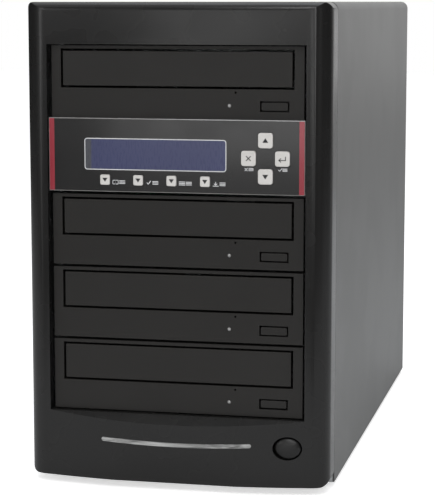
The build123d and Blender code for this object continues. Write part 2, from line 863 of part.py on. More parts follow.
def key_outline(key, grow):
    """Rounded outline of a key, grown all round."""
    x, z, width, height, corner = key
    return Pos(x, z) * RectangleRounded(width + 2 * grow, height + 2 * grow, corner + grow)


overlay_y = face_y - overlay_front
housing_y = overlay_y + overlay_thickness
housing_back_y = housing_y + housing_plate
key_cap_back_y = overlay_y - key_proud + key_thickness
key_switch_y = key_cap_back_y + key_stem_length + key_switch_gap
key_board_y = max(key_switch_y + key_switch_height, housing_back_y + display_frame_depth)
window_z = control_z + window_rise
panel_middle_z = control_z + bay_pitch / 2


def window_outline(grow):
    """Rounded display window, grown all round."""
    return Pos(window_across, window_z) * RectangleRounded(
        window_width + 2 * grow, window_height + 2 * grow, window_round + grow)


def make_panel_overlay():
    """Front plate of the control panel, cut out round the display and the keys."""
    low = control_z + overlay_lift
    outline = Pos(0, low + overlay_height / 2) * Rectangle(overlay_width, overlay_height)
    plate = along_y(outline - window_outline(0), overlay_y, housing_y)
    for key in key_layout().values():
        plate -= along_y(key_outline(key, key_gap), overlay_y, housing_y)
    return plate


def make_panel_housing():
    """Housing behind the overlay: key pockets and guides, display window, board posts and arms."""
    half = housing_width / 2
    low, high = panel_middle_z - housing_height / 2, panel_middle_z + housing_height / 2
    housing = block(-half, half, housing_y, housing_back_y, low, high)
    housing -= along_y(window_outline(window_gap), housing_y, housing_back_y)
    for key in key_layout().values():
        x, z = key[:2]
        housing -= along_y(key_outline(key, key_gap), housing_y, housing_y + key_pocket)
        housing -= rod_y(x, z, housing_y, housing_back_y, key_stem_radius + running_gap)
    arm_back = housing_y + housing_arm_length
    board_z = control_z + board_rise
    arm = block(half - housing_arm, half, housing_y, arm_back, low, high)
    ledge = block(half - housing_arm - housing_ledge, half, key_board_y + board_sheet,
                  arm_back, board_z - housing_arm, board_z)
    housing += mirrored(arm + ledge)
    for x in (half - 2 * housing_ledge, -half + 2 * housing_ledge):
        for z in (low + housing_ledge, high - housing_ledge):
            housing += rod_y(x, z, housing_back_y, key_board_y, panel_post_radius)
    screw_z = control_z + drive_lift + screw_rise
    for y in screw_places_y:
        housing -= rod_x(y, screw_z, -half, half, drive_screw_radius + running_gap)
    return housing


def make_lcd_module():
    """Display: its glass fills the window, its frame lies between the housing and the key board."""
    glass_front = overlay_y + window_recess
    glass = along_y(window_outline(-running_gap), glass_front, housing_back_y)
    frame = block(
        window_across - display_frame_width / 2, window_across + display_frame_width / 2,
        housing_back_y, key_board_y, window_z - display_frame_height / 2,
        window_z + display_frame_height / 2)
    for key in key_layout().values():
        x, z = key[:2]
        frame -= rod_y(x, z, housing_back_y, key_board_y, key_switch_size)
    return glass + frame


def make_controller_board():
    """Upright key board with its switches, joined to the main board with its sockets and chips."""
    half = housing_width / 2 - housing_arm - board_edge_gap
    board_z = control_z + board_rise
    low = board_z
    key_board = block(-half, half, key_board_y, key_board_y + board_sheet, low,
                      low + key_board_height - board_rise)
    low_strip = block(-half, half, key_board_y, key_board_y + board_sheet,
                      panel_middle_z - housing_height / 2 + board_sheet, low)
    back = key_board_y + main_board_length
    main_board = block(-half, half, key_board_y, back, board_z, board_z + board_sheet)
    board = key_board + low_strip + main_board
    for key in key_layout().values():
        x, z = key[:2]
        size = key_switch_size / 2
        board += block(x - size, x + size, key_switch_y, key_board_y, z - size, z + size)
    top = board_z + board_sheet
    for index in range(socket_count):
        x = (index - (socket_count - 1) / 2) * 2 * socket_width
        board += block(x - socket_width / 2, x + socket_width / 2, back - socket_depth, back, top,
                       top + socket_height)
    half_chip = chip_size / 2
    chip_y = (key_board_y + back) / 2
    for x in (-chip_size, chip_size):
        board += block(x - half_chip, x + half_chip, chip_y - half_chip, chip_y + half_chip, top,
                       top + chip_height)
    for x in (-2 * can_height, 0, 2 * can_height):
        board += rod_z(x + half_chip, key_board_y + half_chip, top, top + can_height, can_radius)
    return board


def make_key(key):
    """Key cap on a stem that slides in the housing's guide."""
    x, z = key[:2]
    front = overlay_y - key_proud
    cap = along_y(key_outline(key, 0), front, key_cap_back_y)
    edge = cap.faces().sort_by(Axis.Y)[0].edges()
    cap = chamfer(edge, key_proud)
    return cap + rod_y(x, z, key_cap_back_y, key_cap_back_y + key_stem_length, key_stem_radius)


# ---------------------------------------------------------------- disc drives
def make_shell(z):
    """Open-fronted sheet case of a drive, with its screw holes and rear sockets."""
    half = shell_width / 2
    front = face_y + drive_bezel_depth
    back = front + shell_length
    top = z + shell_height
    shell = block(-half, half, front, back, z, top)
    shell -= block(-half + shell_sheet, half - shell_sheet, front, back - shell_sheet,
                   z + shell_sheet, top - shell_sheet)
    for y in screw_places_y:
        shell -= rod_x(y, z + screw_rise, -half, half, drive_screw_radius + running_gap)
    socket_low, socket_high = z + 2 * shell_sheet, z + deck_rise
    shell -= block(half / 4, half / 2, back - shell_sheet, back, socket_low, socket_high)
    return shell


def door_opening(z):
    """Space that the tray's door closes in a drive's bezel."""
    half = door_width / 2 + door_gap
    low, high = z + door_rise - door_gap, z + door_rise + door_height + door_gap
    return block(-half, half, face_y, face_y + drive_bezel_depth, low, high)


def make_drive_bezel(z):
    """Drive bezel with the door opening, button opening and guide, lamp hole and pin hole."""
    half = drive_width / 2
    back = face_y + drive_bezel_depth
    bezel = block(-half, half, face_y, back, z, z + drive_height)
    bezel -= door_opening(z)
    button_z0 = z + eject_rise
    bezel -= block(
        eject_across - eject_width / 2 - eject_gap, eject_across + eject_width / 2 + eject_gap,
        face_y, back, button_z0 - eject_height / 2 - eject_gap, button_z0 + eject_height / 2 + eject_gap)
    guide_half = eject_width / 2 + eject_guide_thickness
    guide_low = z + shell_sheet + hole_gap
    bezel += block(eject_across - guide_half, eject_across + guide_half, back,
                   back + eject_guide_thickness, guide_low, button_z0 + eject_height)
    bezel -= rod_y(eject_across, button_z0, back, back + eject_guide_thickness,
                   eject_stem_radius + running_gap)
    bezel -= rod_y(lamp_across, z + lamp_rise, face_y, back, lamp_radius)
    bezel -= rod_y(pin_hole_across, z + pin_hole_rise, face_y, back, pin_hole_radius)
    return bezel


def make_eject_button(z):
    """Flush button with a stem in the drive bezel's guide."""
    button_z0 = z + eject_rise
    outline = Pos(eject_across, button_z0) * RectangleRounded(eject_width, eject_height, eject_gap)
    cap = along_y(outline, face_y, face_y + eject_thickness)
    stem_start = face_y + eject_thickness
    return cap + rod_y(eject_across, button_z0, stem_start, stem_start + eject_stem_length, eject_stem_radius)


def make_tray(z):
    """Tray with its door, stepped disc well, rear window and running tabs."""
    half = tray_width / 2
    front = face_y + door_thickness
    back = front + tray_length
    floor = z + tray_rise
    door_low = z + door_rise
    tray = block(-door_width / 2, door_width / 2, face_y, front, door_low, door_low + door_height)
    tray += block(-half, half, front, back, floor, floor + tray_height)
    tray -= rod_z(0, disc_y, floor + tray_floor, floor + tray_height, disc_well_radius)
    tray -= rod_z(0, disc_y, floor + tray_floor - small_well_depth, floor + tray_floor, small_well_radius)
    window_half = tray_window / 2
    tray -= rod_z(0, disc_y, floor, floor + tray_floor, window_half)
    tray -= block(-window_half, window_half, disc_y, back, floor, floor + tray_height)
    tab_low = floor + tab_rise
    tab = block(half, half + tab_reach, face_y + tab_start, back, tab_low, tab_low + tab_thickness)
    return tray + mirrored(tab)


def make_loader(z):
    """Loader: deck on standoffs, tray guides, spindle motor, sled rods and the disc clamp's bridge."""
    front = face_y + drive_bezel_depth
    back = front + shell_length - shell_sheet
    half = shell_width / 2 - deck_inset
    deck_low = z + deck_rise
    deck_top = deck_low + deck_sheet
    start, end = front + 2 * deck_inset, back - deck_inset
    deck = block(-half, half, start, end, deck_low, deck_top)
    sled_end = disc_y + sled_back + sled_length + sled_travel + guide_gap
    cut = sled_width / 2 + deck_inset
    deck -= block(-cut, cut, disc_y + motor_radius + 2 * rod_block, sled_end, deck_low, deck_top)
    for x in (-half + 2 * standoff_radius, half - 2 * standoff_radius):
        for y in (start + 2 * standoff_radius, end - 2 * standoff_radius):
            deck += rod_z(x, y, z + shell_sheet, deck_low, standoff_radius)
    tab_low = z + tray_rise + tab_rise
    lower_top = tab_low - guide_gap
    upper_low = tab_low + tab_thickness + guide_gap
    guide_in = tray_width / 2 + guide_gap
    wall_in = tray_width / 2 + tab_reach + guide_gap
    guide = block(wall_in, wall_in + guide_wall, start, end, deck_top, upper_low + guide_thickness)
    guide += block(guide_in, wall_in, start, end, lower_top - guide_thickness, lower_top)
    guide += block(guide_in, wall_in, start, end, upper_low, upper_low + guide_thickness)
    bridge_low = z + tray_rise + tray_height + clamp_clearance + clamp_drop
    bridge_top = bridge_low + deck_sheet
    post = block(wall_in, wall_in + guide_wall, disc_y - clamp_bridge / 2, disc_y + clamp_bridge / 2,
                 deck_top, bridge_top)
    loader = deck + mirrored(guide + post)
    loader += block(-wall_in, wall_in, disc_y - clamp_bridge / 2, disc_y + clamp_bridge / 2,
                    bridge_low, bridge_top)
    loader += rod_z(0, disc_y, bridge_low - clamp_drop, bridge_low, clamp_radius)
    loader += rod_z(0, disc_y, deck_top, deck_top + motor_height, motor_radius)
    loader -= rod_z(0, disc_y, deck_low, deck_top + motor_height, spindle_radius + running_gap)
    rod_z0 = deck_top + sled_lift + sled_height / 2
    for x in (-rod_spacing / 2, rod_spacing / 2):
        block_front = disc_y + sled_back - rod_block - guide_gap
        for y in (block_front, sled_end):
            loader += block(x - rod_block, x + rod_block, y, y + rod_block, deck_low,
                            rod_z0 + 2 * rod_radius)
        loader += rod_y(x, rod_z0, block_front, sled_end + rod_block, rod_radius)
    return loader


def make_turntable(z):
    """Turntable with its centring cone, on a spindle in the motor."""
    motor_top = z + deck_rise + deck_sheet + motor_height
    low = motor_top + platter_lift
    top = low + platter_thickness
    turntable = rod_z(0, disc_y, low, top, platter_radius)
    cone = Pos(0, disc_y, top + hub_cone_height / 2) * Cone(
        hub_cone_radius, hub_cone_radius * cos(radians(blade_pitch)), hub_cone_height)
    return turntable + cone + rod_z(0, disc_y, z + deck_rise + deck_sheet, low, spindle_radius)


def make_laser_sled(z):
    """Laser sled on the loader's two rods, with its lens on top."""
    front = disc_y + sled_back
    low = z + deck_rise + deck_sheet + sled_lift
    top = low + sled_height
    sled = block(-sled_width / 2, sled_width / 2, front, front + sled_length, low, top)
    for x in (-rod_spacing / 2, rod_spacing / 2):
        sled -= rod_y(x, low + sled_height / 2, front, front + sled_length, rod_radius + running_gap)
    return sled + rod_z(0, front + 2 * lens_radius, top, top + lens_height, lens_radius)


def make_drive_lights():
    """One clear lamp pipe in each drive bezel."""
    lamps = []
    for bay in drive_bays:
        z = floor_z + bay * bay_pitch + drive_lift + lamp_rise
        lamps.append(rod_y(lamp_across, z, face_y, face_y + lamp_length, lamp_radius))
    return Compound(lamps)


def save_drives():
    """The four drives, numbered from the top."""
    for number, bay in enumerate(drive_bays, start=1):
        z = floor_z + bay * bay_pitch + drive_lift
        name = f"drive_{number}"
        save(make_shell(z), f"{name}_shell")
        save(make_drive_bezel(z), f"{name}_bezel")
        save(make_loader(z), f"{name}_loader")
        save(make_tray(z), f"{name}_tray")
        save(make_eject_button(z), f"{name}_eject_button")
        save(make_turntable(z), f"{name}_turntable")
        save(make_laser_sled(z), f"{name}_laser_sled")


def save_all():
    """Every node of the tower."""
    os.makedirs("parts", exist_ok=True)
    save(make_front_bezel(), "front_bezel")
    save(make_light_strip(), "light_strip")
    save(make_power_button(), "power_button")
    save(make_power_switch(), "power_switch")
    save(make_base_pan(), "base_pan")
    save(make_front_plate(), "front_plate")
    save(make_drive_cage(), "drive_cage")
    save(make_outer_cover(), "outer_cover")
    save(make_rear_panel(), "rear_panel")
    save(make_feet(), "feet")
    save(make_rear_screws(), "rear_screws")
    save(make_bay_screws(), "bay_screws")
    save(make_fan_guards(), "fan_guards")
    save(fan_frame(0, case_fan_z, supply_y, case_fan_size, case_fan_depth, case_fan_holes), "case_fan_frame")
    save(fan_rotor(0, case_fan_z, supply_y, case_fan_size, case_fan_depth), "case_fan_rotor")
    save(make_psu_case(), "psu_case")
    save(fan_rotor(supply_fan_across, pan_top_z + supply_height / 2, supply_y - frame_sheet,
                   supply_fan_size, supply_fan_depth), "psu_fan_rotor")
    save(make_mains_inlet(), "mains_inlet")
    save(make_mains_switch(), "mains_switch")
    save(make_panel_overlay(), "panel_overlay")
    save(make_panel_housing(), "panel_housing")
    save(make_lcd_module(), "lcd_module")
    save(make_controller_board(), "controller_board")
    save(make_drive_lights(), "drive_lights")
    for name, key in key_layout().items():
        save(make_key(key), name)
    save_drives()


save_all()
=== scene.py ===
"""Dresses the disc duplicator tower: moulded bezel, painted cover, drives, control panel and rear.

Metres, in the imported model's own frame. +Z is up and the front faces -Y.
"""

import json
import logging
from dataclasses import dataclass
from enum import Enum
from math import cos, pi, radians, sin, sqrt
from typing import Any, Callable, Iterable, Sequence

import bmesh
import bpy
from mathutils import Matrix, Vector

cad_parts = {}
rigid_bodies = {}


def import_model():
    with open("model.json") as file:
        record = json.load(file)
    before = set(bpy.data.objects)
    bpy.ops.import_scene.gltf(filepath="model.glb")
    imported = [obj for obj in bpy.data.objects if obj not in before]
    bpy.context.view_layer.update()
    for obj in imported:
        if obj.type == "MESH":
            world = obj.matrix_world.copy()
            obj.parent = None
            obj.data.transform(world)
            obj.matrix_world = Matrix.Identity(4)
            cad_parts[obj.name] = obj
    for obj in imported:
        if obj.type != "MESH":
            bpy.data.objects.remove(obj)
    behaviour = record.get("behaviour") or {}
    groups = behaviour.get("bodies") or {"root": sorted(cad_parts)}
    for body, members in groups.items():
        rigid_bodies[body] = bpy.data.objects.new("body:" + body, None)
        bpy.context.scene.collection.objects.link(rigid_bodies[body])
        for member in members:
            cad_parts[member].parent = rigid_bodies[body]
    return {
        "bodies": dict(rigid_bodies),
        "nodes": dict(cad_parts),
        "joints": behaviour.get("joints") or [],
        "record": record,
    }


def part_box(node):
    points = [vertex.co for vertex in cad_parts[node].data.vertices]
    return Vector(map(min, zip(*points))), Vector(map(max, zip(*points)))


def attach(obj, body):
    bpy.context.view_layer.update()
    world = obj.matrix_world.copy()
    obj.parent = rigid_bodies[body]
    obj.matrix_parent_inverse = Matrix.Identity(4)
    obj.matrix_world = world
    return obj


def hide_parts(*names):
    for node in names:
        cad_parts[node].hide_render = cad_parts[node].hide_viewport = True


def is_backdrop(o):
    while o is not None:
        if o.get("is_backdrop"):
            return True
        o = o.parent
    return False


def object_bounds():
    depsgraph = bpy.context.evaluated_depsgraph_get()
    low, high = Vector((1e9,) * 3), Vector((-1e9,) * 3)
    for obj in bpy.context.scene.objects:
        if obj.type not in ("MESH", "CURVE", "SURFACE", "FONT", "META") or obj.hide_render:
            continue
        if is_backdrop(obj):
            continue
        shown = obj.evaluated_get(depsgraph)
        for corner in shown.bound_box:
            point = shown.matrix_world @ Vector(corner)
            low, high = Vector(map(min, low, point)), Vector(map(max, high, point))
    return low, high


LOG = logging.getLogger("duplicator_tower")
MM = 0.001

EDGE_STEPS = 2
FLAT_ANGLE = 0.4
NEAR = 1e-5
MERGE = 1e-6
WELD = 1e-7
ROUNDING = 0.3
DUST = (0.42, 0.4, 0.37)

Color = tuple[float, float, float]
Pair = tuple[float, float]
Span = tuple[float, float, float, float]
Socket = bpy.types.NodeSocket
Term = float | Socket
Mesh = bmesh.types.BMesh
Region = Callable[[Vector], int]


class Axis(Enum):
    """A direction in the tower's frame."""

    X = (1.0, 0.0, 0.0)
    Y = (0.0, 1.0, 0.0)
    Z = (0.0, 0.0, 1.0)


class Mark(Enum):
    """A plain sign printed on a key or beside it."""

    UP = "up"
    DOWN = "down"
    CANCEL = "cancel"
    CONFIRM = "confirm"
    PAIR = "pair"
    TICK = "tick"
    LINES = "lines"
    SOURCE = "source"


# Upright bars of each sign: lowest and highest X, lowest and highest Z, in parts of its height.
BARS: dict[Mark, tuple[Span, ...]] = {
    Mark.CONFIRM: ((-0.62, 0.62, -0.3, -0.16), (0.48, 0.62, -0.3, 0.42)),
    Mark.LINES: ((-0.75, 0.75, -0.4, -0.24), (-0.75, 0.75, -0.06, 0.1), (-0.75, 0.75, 0.28, 0.44)),
    Mark.PAIR: ((-0.7, 0.06, 0.36, 0.5), (-0.7, 0.06, -0.5, -0.36), (-0.7, -0.57, -0.5, 0.5),
                (-0.07, 0.06, -0.5, 0.5), (-0.06, 0.7, 0.36, 0.5), (-0.06, 0.7, -0.5, -0.36),
                (-0.06, 0.07, -0.5, 0.5), (0.57, 0.7, -0.5, 0.5)),
    Mark.SOURCE: ((-0.7, 0.7, -0.5, -0.36), (-0.07, 0.07, -0.2, 0.5)),
}
# Slanted strokes of each sign: X and Z of both ends, in the same parts.
STROKES: dict[Mark, tuple[Span, ...]] = {
    Mark.CANCEL: ((-0.35, -0.35, 0.35, 0.35), (-0.35, 0.35, 0.35, -0.35)),
    Mark.CONFIRM: ((-0.6, -0.23, -0.28, 0.05), (-0.6, -0.23, -0.28, -0.5)),
    Mark.TICK: ((-0.4, 0.0, -0.12, -0.35), (-0.12, -0.35, 0.45, 0.4)),
    Mark.SOURCE: ((-0.3, 0.05, 0.0, -0.25), (0.3, 0.05, 0.0, -0.25)),
}


# ---------------------------------------------------------------- shader sheets
class NodeSheet:
    """Adds and joins nodes in one node tree."""

    def __init__(self, tree: bpy.types.NodeTree) -> None:
        """Keeps the tree.

        Args:
            tree: the node tree of a material, a world or a group.
        """
        self.tree = tree

    def add(self, kind: str, **settings: Any) -> bpy.types.Node:
        """Adds a node.

        Args:
            kind: the node's type name.
            settings: properties to set on it.

        Returns:
            The new node.
        """
        node = self.tree.nodes.new(kind)
        for key, value in settings.items():
            setattr(node, key, value)
        return node

    def join(self, value: Any, target: Socket) -> None:
        """Links a socket to an input, or sets a plain value on it.

        Args:
            value: the socket or the value.
            target: the input.
        """
        if isinstance(value, Socket):
            self.tree.links.new(value, target)
        else:
            target.default_value = value

    def feed(self, node: bpy.types.Node, **values: Any) -> bpy.types.Node:
        """Sets or joins a node's inputs by name, with _ for a space.

        Args:
            node: the node to feed.
            values: a number, colour or socket for each input.

        Returns:
            The same node.
        """
        for key, value in values.items():
            self.join(value, node.inputs[key.replace("_", " ")])
        return node

    def math(self, operation: str, *terms: Term) -> Socket:
        """Adds a Math node over numbers or sockets.

        Args:
            operation: the Math node's operation.
            terms: its inputs in order.

        Returns:
            The node's output socket.
        """
        node = self.add("ShaderNodeMath", operation=operation)
        for socket, term in zip(node.inputs, terms):
            self.join(term, socket)
        return node.outputs[0]

    def ramp(self, value: Term, low: float, high: float, start: float, end: float) -> Socket:
        """Maps a value smoothly from one range to another.

        Args:
            value: the value to map.
            low: the value that gives start.
            high: the value that gives end.
            start: the result at low.
            end: the result at high.

        Returns:
            The mapped value's socket.
        """
        node = self.add("ShaderNodeMapRange", interpolation_type="SMOOTHSTEP")
        self.feed(node, Value=value, From_Min=low, From_Max=high, To_Min=start, To_Max=end)
        return node.outputs["Result"]

    def blend(self, factor: Term, first: Any, second: Any) -> Socket:
        """Mixes two colours.

        Args:
            factor: 0 gives the first and 1 the second.
            first: colour or socket.
            second: colour or socket.

        Returns:
            The mixed colour's socket.
        """
        node = self.add("ShaderNodeMix", data_type="RGBA", clamp_factor=True)
        for socket, value in ((node.inputs[0], factor), (node.inputs[6], first), (node.inputs[7], second)):
            self.join((*value, 1.0) if isinstance(value, tuple) else value, socket)
        return node.outputs[2]

    def object_space(self) -> Socket:
        """Object coordinates."""
        return self.add("ShaderNodeTexCoord").outputs["Object"]

    def place(self) -> bpy.types.Node:
        """Object coordinates split into X, Y and Z."""
        return self.feed(self.add("ShaderNodeSeparateXYZ"), Vector=self.object_space())

    def noise(self, scale: Term, detail: float = 3.0, stretch: Sequence[float] = (1, 1, 1)) -> Any:
        """Noise on object coordinates.

        Args:
            scale: cells per metre.
            detail: octaves.
            stretch: scale of each axis before the noise.

        Returns:
            The noise value's socket.
        """
        mapping = self.add("ShaderNodeMapping")
        self.feed(mapping, Vector=self.object_space(), Scale=tuple(stretch))
        node = self.add("ShaderNodeTexNoise")
        self.feed(node, Vector=mapping.outputs[0], Scale=scale, Detail=detail)
        return node.outputs[0]


class Shelf:
    """The shader groups that several finishes share, each built once."""

    def __init__(self) -> None:
        """Builds every group."""
        self.grain = self._grain()
        self.tone = self._tone()
        self.wear = self._wear()
        self.dust = self._dust()
        self.streaks = self._streaks()

    def _start(
        self, name: str, inputs: dict[str, tuple[str, Any]], outputs: dict[str, str]
    ) -> tuple[NodeSheet, bpy.types.Node, bpy.types.Node]:
        """Starts a group with its named sockets.

        Args:
            name: the group's name.
            inputs: socket name to its kind and value.
            outputs: socket name to its kind.

        Returns:
            The sheet, the group's input node and its output node.
        """
        tree = bpy.data.node_groups.new(name, "ShaderNodeTree")
        for key, (kind, value) in inputs.items():
            socket = tree.interface.new_socket(key, in_out="INPUT", socket_type=f"NodeSocket{kind}")
            socket.default_value = value
        for key, kind in outputs.items():
            tree.interface.new_socket(key, in_out="OUTPUT", socket_type=f"NodeSocket{kind}")
        sheet = NodeSheet(tree)
        return sheet, sheet.add("NodeGroupInput"), sheet.add("NodeGroupOutput")

    def _grain(self) -> bpy.types.NodeTree:
        """Fine moulded grain with a height and a slow mask.

        Returns:
            The group's tree.
        """
        sheet, start, end = self._start(
            "moulded_grain", {"Scale": ("Float", 1200.0), "Patch": ("Float", 40.0)},
            {"Height": "Float", "Mask": "Float"})
        fine = sheet.noise(start.outputs["Scale"], 4.0)
        pits = sheet.add("ShaderNodeTexVoronoi", feature="SMOOTH_F1")
        sheet.feed(pits, Vector=sheet.object_space(), Scale=start.outputs["Scale"])
        height = sheet.math("MULTIPLY_ADD", pits.outputs["Distance"], 0.6, fine)
        patch = sheet.noise(start.outputs["Patch"], 2.0)
        sheet.feed(end, Height=height, Mask=sheet.ramp(patch, 0.3, 0.7, 0.0, 1.0))
        return sheet.tree

    def _tone(self) -> bpy.types.NodeTree:
        """Slow change of a colour over a surface.

        Returns:
            The group's tree.
        """
        sheet, start, end = self._start(
            "slow_tone",
            {"Color": ("Color", (0.5, 0.5, 0.5, 1.0)), "Amount": ("Float", 0.1), "Scale": ("Float", 30.0)},
            {"Color": "Color"})
        wave = sheet.noise(start.outputs["Scale"], 3.0)
        change = sheet.math("MULTIPLY", sheet.math("SUBTRACT", wave, 0.5), start.outputs["Amount"])
        level = sheet.math("ADD", sheet.math("MULTIPLY", change, 4.0), 1.0)
        scaled = sheet.add("ShaderNodeVectorMath", operation="SCALE")
        sheet.join(start.outputs["Color"], scaled.inputs[0])
        sheet.join(level, scaled.inputs["Scale"])
        sheet.join(scaled.outputs[0], end.inputs["Color"])
        return sheet.tree

    def _wear(self) -> bpy.types.NodeTree:
        """Mask of rubbed edges, broken up by noise.

        Returns:
            The group's tree.
        """
        sheet, start, end = self._start(
            "edge_wear", {"Radius": ("Float", 0.0006), "Amount": ("Float", 0.3)}, {"Mask": "Float"})
        rounded = sheet.add("ShaderNodeBevel", samples=4)
        sheet.feed(rounded, Radius=start.outputs["Radius"])
        flat = sheet.add("ShaderNodeNewGeometry")
        facing = sheet.add("ShaderNodeVectorMath", operation="DOT_PRODUCT")
        sheet.join(rounded.outputs[0], facing.inputs[0])
        sheet.join(flat.outputs["Normal"], facing.inputs[1])
        edge = sheet.ramp(facing.outputs["Value"], 0.995, 0.9, 0.0, 1.0)
        rub = sheet.ramp(sheet.noise(220.0, 5.0), 0.42, 0.62, 0.15, 1.0)
        mask = sheet.math("MULTIPLY", sheet.math("MULTIPLY", edge, rub), start.outputs["Amount"])
        sheet.feed(end, Mask=mask)
        return sheet.tree

    def _dust(self) -> bpy.types.NodeTree:
        """Mask of fine dust that lies on upward faces.

        Returns:
            The group's tree.
        """
        sheet, start, end = self._start("dust", {"Amount": ("Float", 0.1)}, {"Mask": "Float"})
        geometry = sheet.add("ShaderNodeNewGeometry")
        split = sheet.add("ShaderNodeSeparateXYZ")
        sheet.join(geometry.outputs["Normal"], split.inputs[0])
        upward = sheet.ramp(split.outputs["Z"], 0.4, 1.0, 0.0, 1.0)
        cloud = sheet.ramp(sheet.noise(60.0, 6.0), 0.35, 0.75, 0.2, 1.0)
        specks = sheet.ramp(sheet.noise(2600.0, 2.0), 0.6, 0.72, 0.35, 1.0)
        mask = sheet.math("MULTIPLY", sheet.math("MULTIPLY", upward, cloud), specks)
        sheet.feed(end, Mask=sheet.math("MULTIPLY", mask, start.outputs["Amount"]))
        return sheet.tree

    def _streaks(self) -> bpy.types.NodeTree:
        """Long fine streaks along X.

        Returns:
            The group's tree.
        """
        sheet, start, end = self._start("streaks", {"Scale": ("Float", 900.0)}, {"Value": "Float"})
        long = sheet.noise(start.outputs["Scale"], 3.0, (0.02, 1.0, 1.0))
        broad = sheet.noise(start.outputs["Scale"], 1.0, (0.01, 0.25, 0.25))
        value = sheet.math("MULTIPLY_ADD", broad, 0.6, sheet.math("MULTIPLY", long, 0.6))
        sheet.feed(end, Value=sheet.ramp(value, 0.4, 0.8, 0.0, 1.0))
        return sheet.tree


class FinishSheet(NodeSheet):
    """A material's sheet with one Principled shader."""

    def __init__(self, name: str) -> None:
        """Starts the material.

        Args:
            name: the material's name.
        """
        self.material = bpy.data.materials.new(name)
        self.material.use_nodes = True
        super().__init__(self.material.node_tree)
        self.shader = next(n for n in self.tree.nodes if n.type == "BSDF_PRINCIPLED")

    def group(self, tree: bpy.types.NodeTree, **values: Any) -> bpy.types.Node:
        """Places a shared group with its own values.

        Args:
            tree: the group.
            values: its inputs.

        Returns:
            The group's node.
        """
        return self.feed(self.add("ShaderNodeGroup", node_tree=tree), **values)

    def bump(self, height: Socket, depth: float) -> None:
        """Joins a height to the shader's normal.

        Args:
            height: the height's socket, about 0 to 1.
            depth: the real depth in metres.
        """
        node = self.feed(self.add("ShaderNodeBump"), Height=height, Distance=depth, Strength=1.0)
        self.feed(self.shader, Normal=node.outputs[0])


# ---------------------------------------------------------------- finishes
@dataclass(frozen=True)
class MouldedPlastic:
    """Moulded plastic with fine grain, slow tone, dust and rubbed edges."""

    name: str
    color: Color
    roughness: float = 0.45
    grain: float = 0.5
    depth: float = 0.004
    specular: float = 0.4
    coat: float = 0.0
    tone: float = 0.06
    wear: float = 0.1
    dust: float = 0.05

    def build(self, shelf: Shelf) -> bpy.types.Material:
        """Makes the material.

        Args:
            shelf: the shared groups.

        Returns:
            The material.
        """
        sheet = FinishSheet(self.name)
        grain = sheet.group(shelf.grain, Scale=1 / (self.grain * MM))
        tone = sheet.group(shelf.tone, Color=(*self.color, 1.0), Amount=self.tone)
        rubbed = tuple(min(1.0, 2.2 * channel + 0.03) for channel in self.color)
        wear = sheet.group(shelf.wear, Amount=self.wear)
        dust = sheet.group(shelf.dust, Amount=self.dust)
        worn = sheet.blend(wear.outputs["Mask"], tone.outputs["Color"], rubbed)
        color = sheet.blend(dust.outputs["Mask"], worn, DUST)
        rough = sheet.ramp(grain.outputs["Mask"], 0.0, 1.0, self.roughness - 0.015, self.roughness + 0.015)
        sheet.feed(sheet.shader, Base_Color=color, Roughness=rough, Specular_IOR_Level=self.specular,
                   Coat_Weight=self.coat, Coat_Roughness=0.08)
        sheet.bump(grain.outputs["Height"], self.depth * MM)
        return sheet.material


@dataclass(frozen=True)
class PowderPaint:
    """Satin powder paint with the soft ripple of sprayed sheet."""

    name: str
    color: Color
    roughness: float = 0.4
    specular: float = 0.5
    ripple: float = 1.6
    depth: float = 0.0025

    def build(self, shelf: Shelf) -> bpy.types.Material:
        """Makes the material.

        Args:
            shelf: the shared groups.

        Returns:
            The material.
        """
        sheet = FinishSheet(self.name)
        ripple = sheet.noise(1 / (self.ripple * MM), 2.0)
        grain = sheet.group(shelf.grain, Scale=1 / (0.35 * MM), Patch=18.0)
        tone = sheet.group(shelf.tone, Color=(*self.color, 1.0), Amount=0.02, Scale=9.0)
        wear = sheet.group(shelf.wear, Amount=0.12, Radius=0.0004)
        dust = sheet.group(shelf.dust, Amount=0.07)
        worn = sheet.blend(wear.outputs["Mask"], tone.outputs["Color"], (0.09, 0.09, 0.09))
        color = sheet.blend(dust.outputs["Mask"], worn, DUST)
        rough = sheet.ramp(grain.outputs["Mask"], 0.0, 1.0, self.roughness - 0.01, self.roughness + 0.01)
        sheet.feed(sheet.shader, Base_Color=color, Roughness=rough, Specular_IOR_Level=self.specular)
        height = sheet.math("MULTIPLY_ADD", grain.outputs["Height"], 0.25, ripple)
        sheet.bump(height, self.depth * MM)
        return sheet.material


@dataclass(frozen=True)
class PlatedSteel:
    """Zinc or nickel plate over sheet or wire, with spangle and rolling lines."""

    name: str
    color: Color
    roughness: float = 0.32
    spangle: float = 9.0
    lines: float = 0.25

    def build(self, shelf: Shelf) -> bpy.types.Material:
        """Makes the material.

        Args:
            shelf: the shared groups.

        Returns:
            The material.
        """
        sheet = FinishSheet(self.name)
        cells = sheet.feed(sheet.add("ShaderNodeTexVoronoi"), Vector=sheet.object_space(),
                           Scale=1 / (self.spangle * MM))
        split = sheet.add("ShaderNodeSeparateColor")
        sheet.join(cells.outputs["Color"], split.inputs[0])
        lines = sheet.group(shelf.streaks, Scale=1400.0)
        crystal = sheet.math("MULTIPLY", split.outputs[0], 0.16)
        level = sheet.math("MULTIPLY_ADD", lines.outputs["Value"], self.lines * 0.2, crystal)
        tone = sheet.group(shelf.tone, Color=(*self.color, 1.0), Amount=0.04)
        darker = tuple(0.72 * channel for channel in self.color)
        color = sheet.blend(level, tone.outputs["Color"], darker)
        sheet.feed(sheet.shader, Base_Color=color, Metallic=1.0,
                   Roughness=sheet.math("MULTIPLY_ADD", level, 0.5, self.roughness))
        sheet.bump(lines.outputs["Value"], 0.002 * MM)
        return sheet.material


